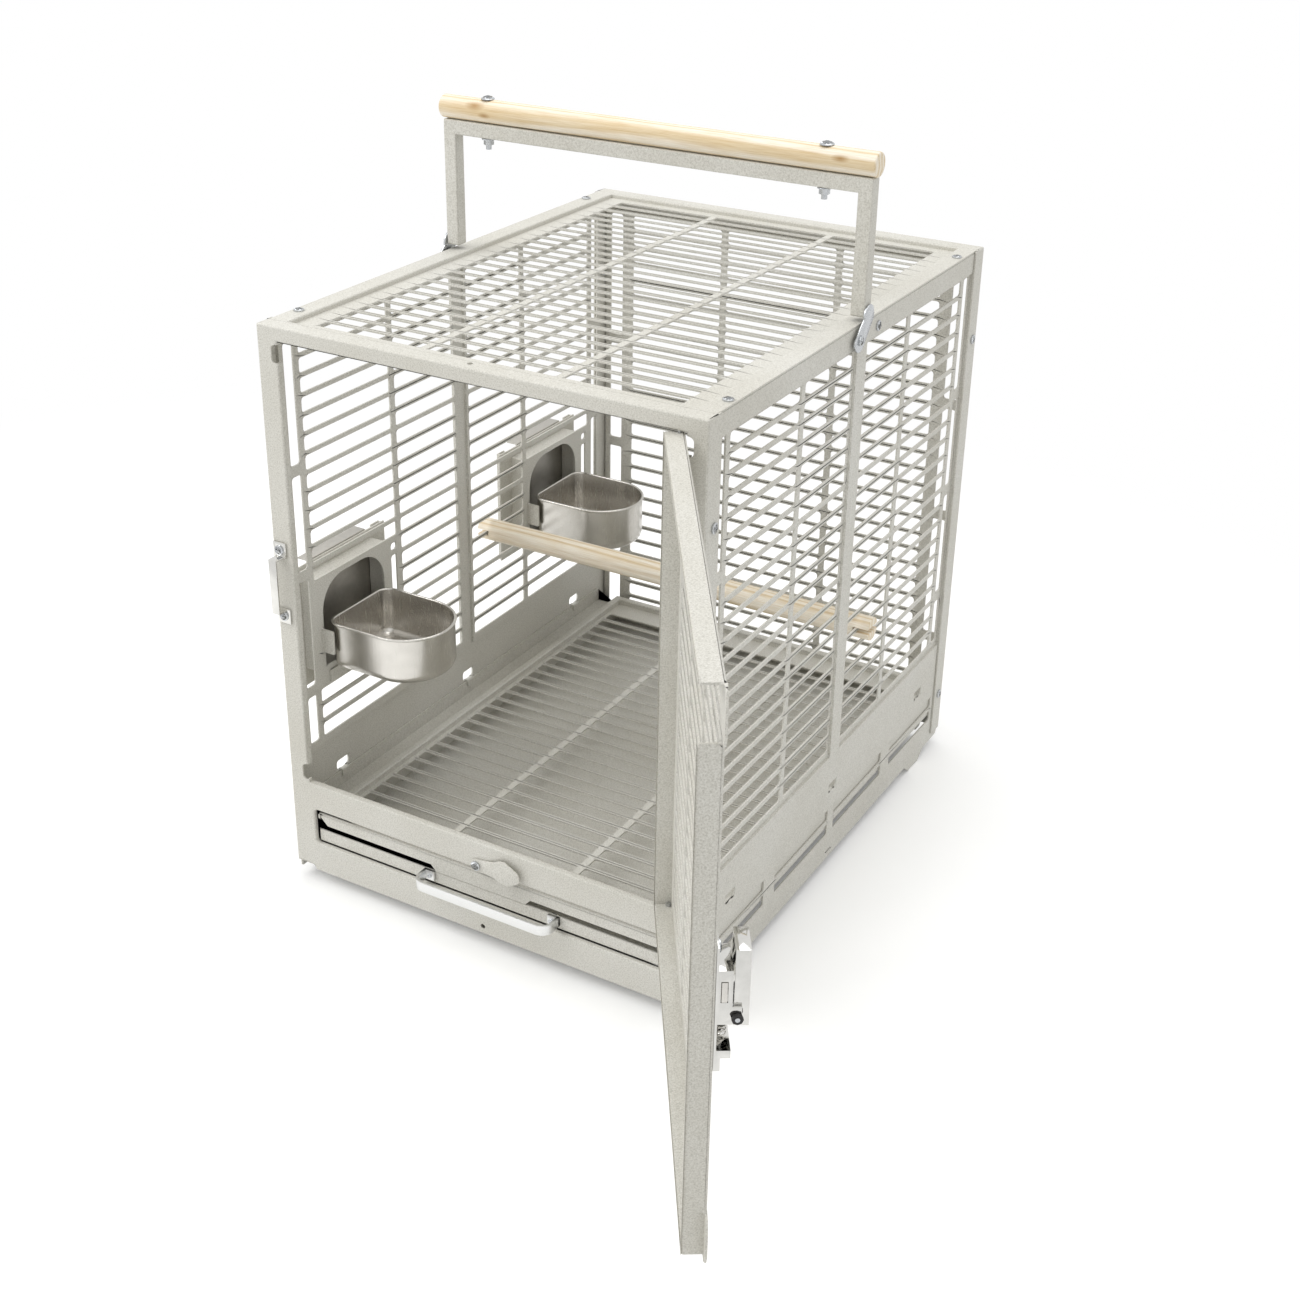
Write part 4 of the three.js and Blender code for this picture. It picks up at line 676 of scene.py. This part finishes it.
def cup(node, centre):
    """A deep-drawn cup: two small and two wide corners, a soft bottom edge and a rolled bead."""
    length, half = CUP_END - CUP_BACK + 2 * BEAD_OUT, CUP_HALF + BEAD_OUT
    middle = (CUP_BACK + CUP_END) / 2
    bm = plate(middle, centre, CUP_RIM, length / 2, half)
    wide = [vert for vert in bm.verts if vert.co.x > middle]
    bevelled(bm, wide, half - NOSE_GAP, NOSE_STEPS, affect="VERTICES")
    small = [vert for vert in bm.verts if vert.co.x < CUP_BACK]
    bevelled(bm, small, *SMALL_CORNER, affect="VERTICES")
    bmesh.ops.remove_doubles(bm, verts=bm.verts, dist=NOSE_WELD)
    top = bm.faces[:][0]
    if top.normal.z < 0:
        top.normal_flip()
    extruded(bm, [top], (0, 0, -BEAD_TALL), keep=True)
    bmesh.ops.recalc_face_normals(bm, faces=bm.faces)
    under = min(
        bm.faces, key=lambda face: (round(face.calc_center_median().z, 3), -face.calc_area())
    )
    bmesh.ops.inset_region(bm, faces=[under], thickness=BEAD_OUT, use_even_offset=True)
    push(bm, under, (0, 0, CUP_BOTTOM - CUP_RIM + BEAD_TALL))
    upper = max(
        bm.faces, key=lambda face: (round(face.calc_center_median().z, 3), face.calc_area())
    )
    bmesh.ops.inset_region(bm, faces=[upper], thickness=BEAD_OUT + CUP_WALL, use_even_offset=True)
    push(bm, upper, (0, 0, CUP_BOTTOM + CUP_WALL - CUP_RIM))
    bevelled(bm, edges_at(bm, CUP_BOTTOM), *BOTTOM_OUTSIDE)
    bevelled(bm, edges_at(bm, CUP_BOTTOM + CUP_WALL), *BOTTOM_INSIDE)
    under_bead = [
        edge for edge in edges_at(bm, CUP_RIM - BEAD_TALL) if edge.calc_face_angle_signed(0) > 0
    ]
    bevelled(bm, edges_at(bm, CUP_RIM) + under_bead, *BEAD_ROUND)
    bmesh.ops.remove_doubles(bm, verts=bm.verts, dist=CUP_WELD)
    bmesh.ops.recalc_face_normals(bm, faces=bm.faces)
    bm.normal_update()
    keep_crisp(bm)
    for face in bm.faces:
        face.smooth = abs(face.normal.z) < 0.999
    bmesh.ops.transform(bm, matrix=TO_FRAME, verts=bm.verts)
    stand_in(node, "drawn", bm)


# The pull's flat bar stands on edge, bent to a bow whose ends are screwed to the tray's front
PULL_LEFT, PULL_RIGHT, PULL_FRONT, PULL_BACK = -62, 76, -281.8, -260.8
PULL_LOW, PULL_TALL, PULL_BAR, PULL_PAD = 46.8, 9, 3, 11
PULL_BEND = (11, 8)
PULL_EDGE = (0.4, 2)


def pull():
    """The tray's pull. Its bow is drawn past the tray's front and then cut off there."""
    beyond = PULL_BACK + 3 * PULL_BAR
    bm = plate((PULL_LEFT + PULL_RIGHT) / 2, (beyond + PULL_FRONT) / 2, PULL_LOW,
               (PULL_RIGHT - PULL_LEFT) / 2, (beyond - PULL_FRONT) / 2)
    bends = [vert for vert in bm.verts if vert.co.y < PULL_BACK]
    bevelled(bm, bends, *PULL_BEND, affect="VERTICES")
    inside = bm.faces[:][0]
    bmesh.ops.inset_region(bm, faces=[inside], thickness=PULL_BAR, use_even_offset=True,
                           use_boundary=True)
    bmesh.ops.delete(bm, geom=[inside], context="FACES")
    everything = bm.verts[:] + bm.edges[:] + bm.faces[:]
    bmesh.ops.bisect_plane(bm, geom=everything, plane_co=(0, PULL_BACK, 0), plane_no=(0, 1, 0),
                           clear_outer=True)
    extruded(bm, bm.faces[:], (0, 0, PULL_TALL), keep=True)
    for middle in (PULL_LEFT + PULL_PAD / 2, PULL_RIGHT - PULL_PAD / 2):
        pad = Matrix.Translation((middle, PULL_BACK - PULL_BAR / 2, PULL_LOW + PULL_TALL / 2))
        size = Matrix.Diagonal((PULL_PAD, PULL_BAR, PULL_TALL, 1))
        bmesh.ops.create_cube(bm, size=1, matrix=pad @ size)
    bmesh.ops.recalc_face_normals(bm, faces=bm.faces)
    sharp = [edge for edge in bm.edges if edge.calc_face_angle(0) > BROKEN]
    bevelled(bm, sharp, *PULL_EDGE)
    shade_curves(bm)
    bmesh.ops.transform(bm, matrix=TO_FRAME, verts=bm.verts)
    stand_in("tray_pull", "bar", bm)


GRIP_LENGTH, GRIP_RADIUS, GRIP_HEIGHT, GRIP_SIDES = 412, 10, 647.2, 56
GRIP_SANDED = (1.6, 4)


def grip():
    """The turned grip, its two ends sanded round."""
    bm = bmesh.new()
    lying = Matrix.Translation((0, 0, GRIP_HEIGHT)) @ Matrix.Rotation(math.pi / 2, 4, "Y")
    bmesh.ops.create_cone(bm, cap_ends=True, segments=GRIP_SIDES, radius1=GRIP_RADIUS,
                          radius2=GRIP_RADIUS, depth=GRIP_LENGTH, matrix=lying)
    ends = [edge for edge in bm.edges if abs(edge.verts[0].co.x - edge.verts[1].co.x) < 1]
    bevelled(bm, ends, *GRIP_SANDED)
    for face in bm.faces:
        face.smooth = abs(face.normal.x) < 0.99
    bmesh.ops.transform(bm, matrix=TO_FRAME, verts=bm.verts)
    stand_in("handle_grip", "turned", bm)


cup("front_cup", -173)
cup("rear_cup", 153.5)
pull()
grip()


# Floor, light and white surroundings, in metres
FLOOR_HALF, FLOOR_DROP = 14, 0.0004
FLOOR_LIFT = 0.16
FADE_START, FADE_END = 0.55, 1.3
AMBIENT = 0.75
CAGE_MIDDLE = (0.2, 0.2, 0.3)


def backdrop_rays(tree):
    """One for the rays that show the backdrop: straight to the camera, or by metal or glass."""
    path = add(tree, "ShaderNodeLightPath")
    seen = add(tree, "ShaderNodeMath", {"operation": "ADD"},
               {0: path.outputs["Is Camera Ray"], 1: path.outputs["Is Glossy Ray"]})
    both = add(tree, "ShaderNodeMath", {"operation": "ADD", "use_clamp": True},
               {0: seen.outputs[0], 1: path.outputs["Is Transmission Ray"]})
    return both.outputs[0]


def floor():
    """Near the cage the floor takes its shadow, and past a metre it runs out into white."""
    bm = bmesh.new()
    bmesh.ops.create_grid(bm, x_segments=1, y_segments=1, size=FLOOR_HALF)
    mesh = bpy.data.meshes.new("floor")
    bm.to_mesh(mesh)
    bm.free()
    made = new_object("floor", mesh)
    made.location = (0, 0, -FLOOR_DROP)
    material, tree, spot = start("white_floor")
    paint = add(tree, "ShaderNodeBsdfDiffuse", {"Color": colour("F4F4F3")})
    lift = add(tree, "ShaderNodeEmission", {"Color": WHITE, "Strength": FLOOR_LIFT})
    near = add(tree, "ShaderNodeAddShader", {}, {0: paint.outputs[0], 1: lift.outputs[0]})
    far = add(tree, "ShaderNodeEmission", {"Color": WHITE, "Strength": 1.0})
    reach = add(tree, VECTOR_MATH, {"operation": "LENGTH"}, {0: spot})
    fade = add(tree, RANGE,
               {"From Min": FADE_START, "From Max": FADE_END, "interpolation_type": "SMOOTHSTEP"},
               {"Value": reach.outputs["Value"]})
    seen = add(tree, "ShaderNodeMixShader", {},
               {0: fade.outputs["Result"], 1: near.outputs[0], 2: far.outputs[0]})
    shown = add(tree, "ShaderNodeMixShader", {},
                {0: backdrop_rays(tree), 1: paint.outputs[0], 2: seen.outputs[0]})
    add(tree, OUTPUT, {}, {"Surface": shown.outputs[0]})
    mesh.materials.append(material)


def surroundings():
    """A white studio, whose soft light on the cage is weaker than the white that shows."""
    world = bpy.data.worlds.new("white_studio")
    bpy.context.scene.world = world
    world.use_nodes = True
    tree = world.node_tree
    tree.nodes.clear()
    ambient = add(tree, "ShaderNodeBackground", {"Color": WHITE, "Strength": AMBIENT})
    white = add(tree, "ShaderNodeBackground", {"Color": WHITE, "Strength": 1.0})
    shown = add(tree, "ShaderNodeMixShader", {},
                {0: backdrop_rays(tree), 1: ambient.outputs[0], 2: white.outputs[0]})
    add(tree, "ShaderNodeOutputWorld", {}, {"Surface": shown.outputs[0]})


def softbox(name, spot, width, watts):
    """A square lamp that faces the middle of the cage."""
    data = bpy.data.lights.new(name, "AREA")
    data.shape = "RECTANGLE"
    data.size, data.size_y = width, width
    data.energy = watts
    lamp = new_object(name, data)
    lamp.location = spot
    lamp.rotation_euler = (Vector(CAGE_MIDDLE) - Vector(spot)).to_track_quat("-Z", "Y").to_euler()


floor()
surroundings()
softbox("key_softbox", (-1.6, -1.5, 2.6), width=1.8, watts=42)
softbox("top_softbox", (0.3, 0.6, 3.0), width=2.2, watts=30)
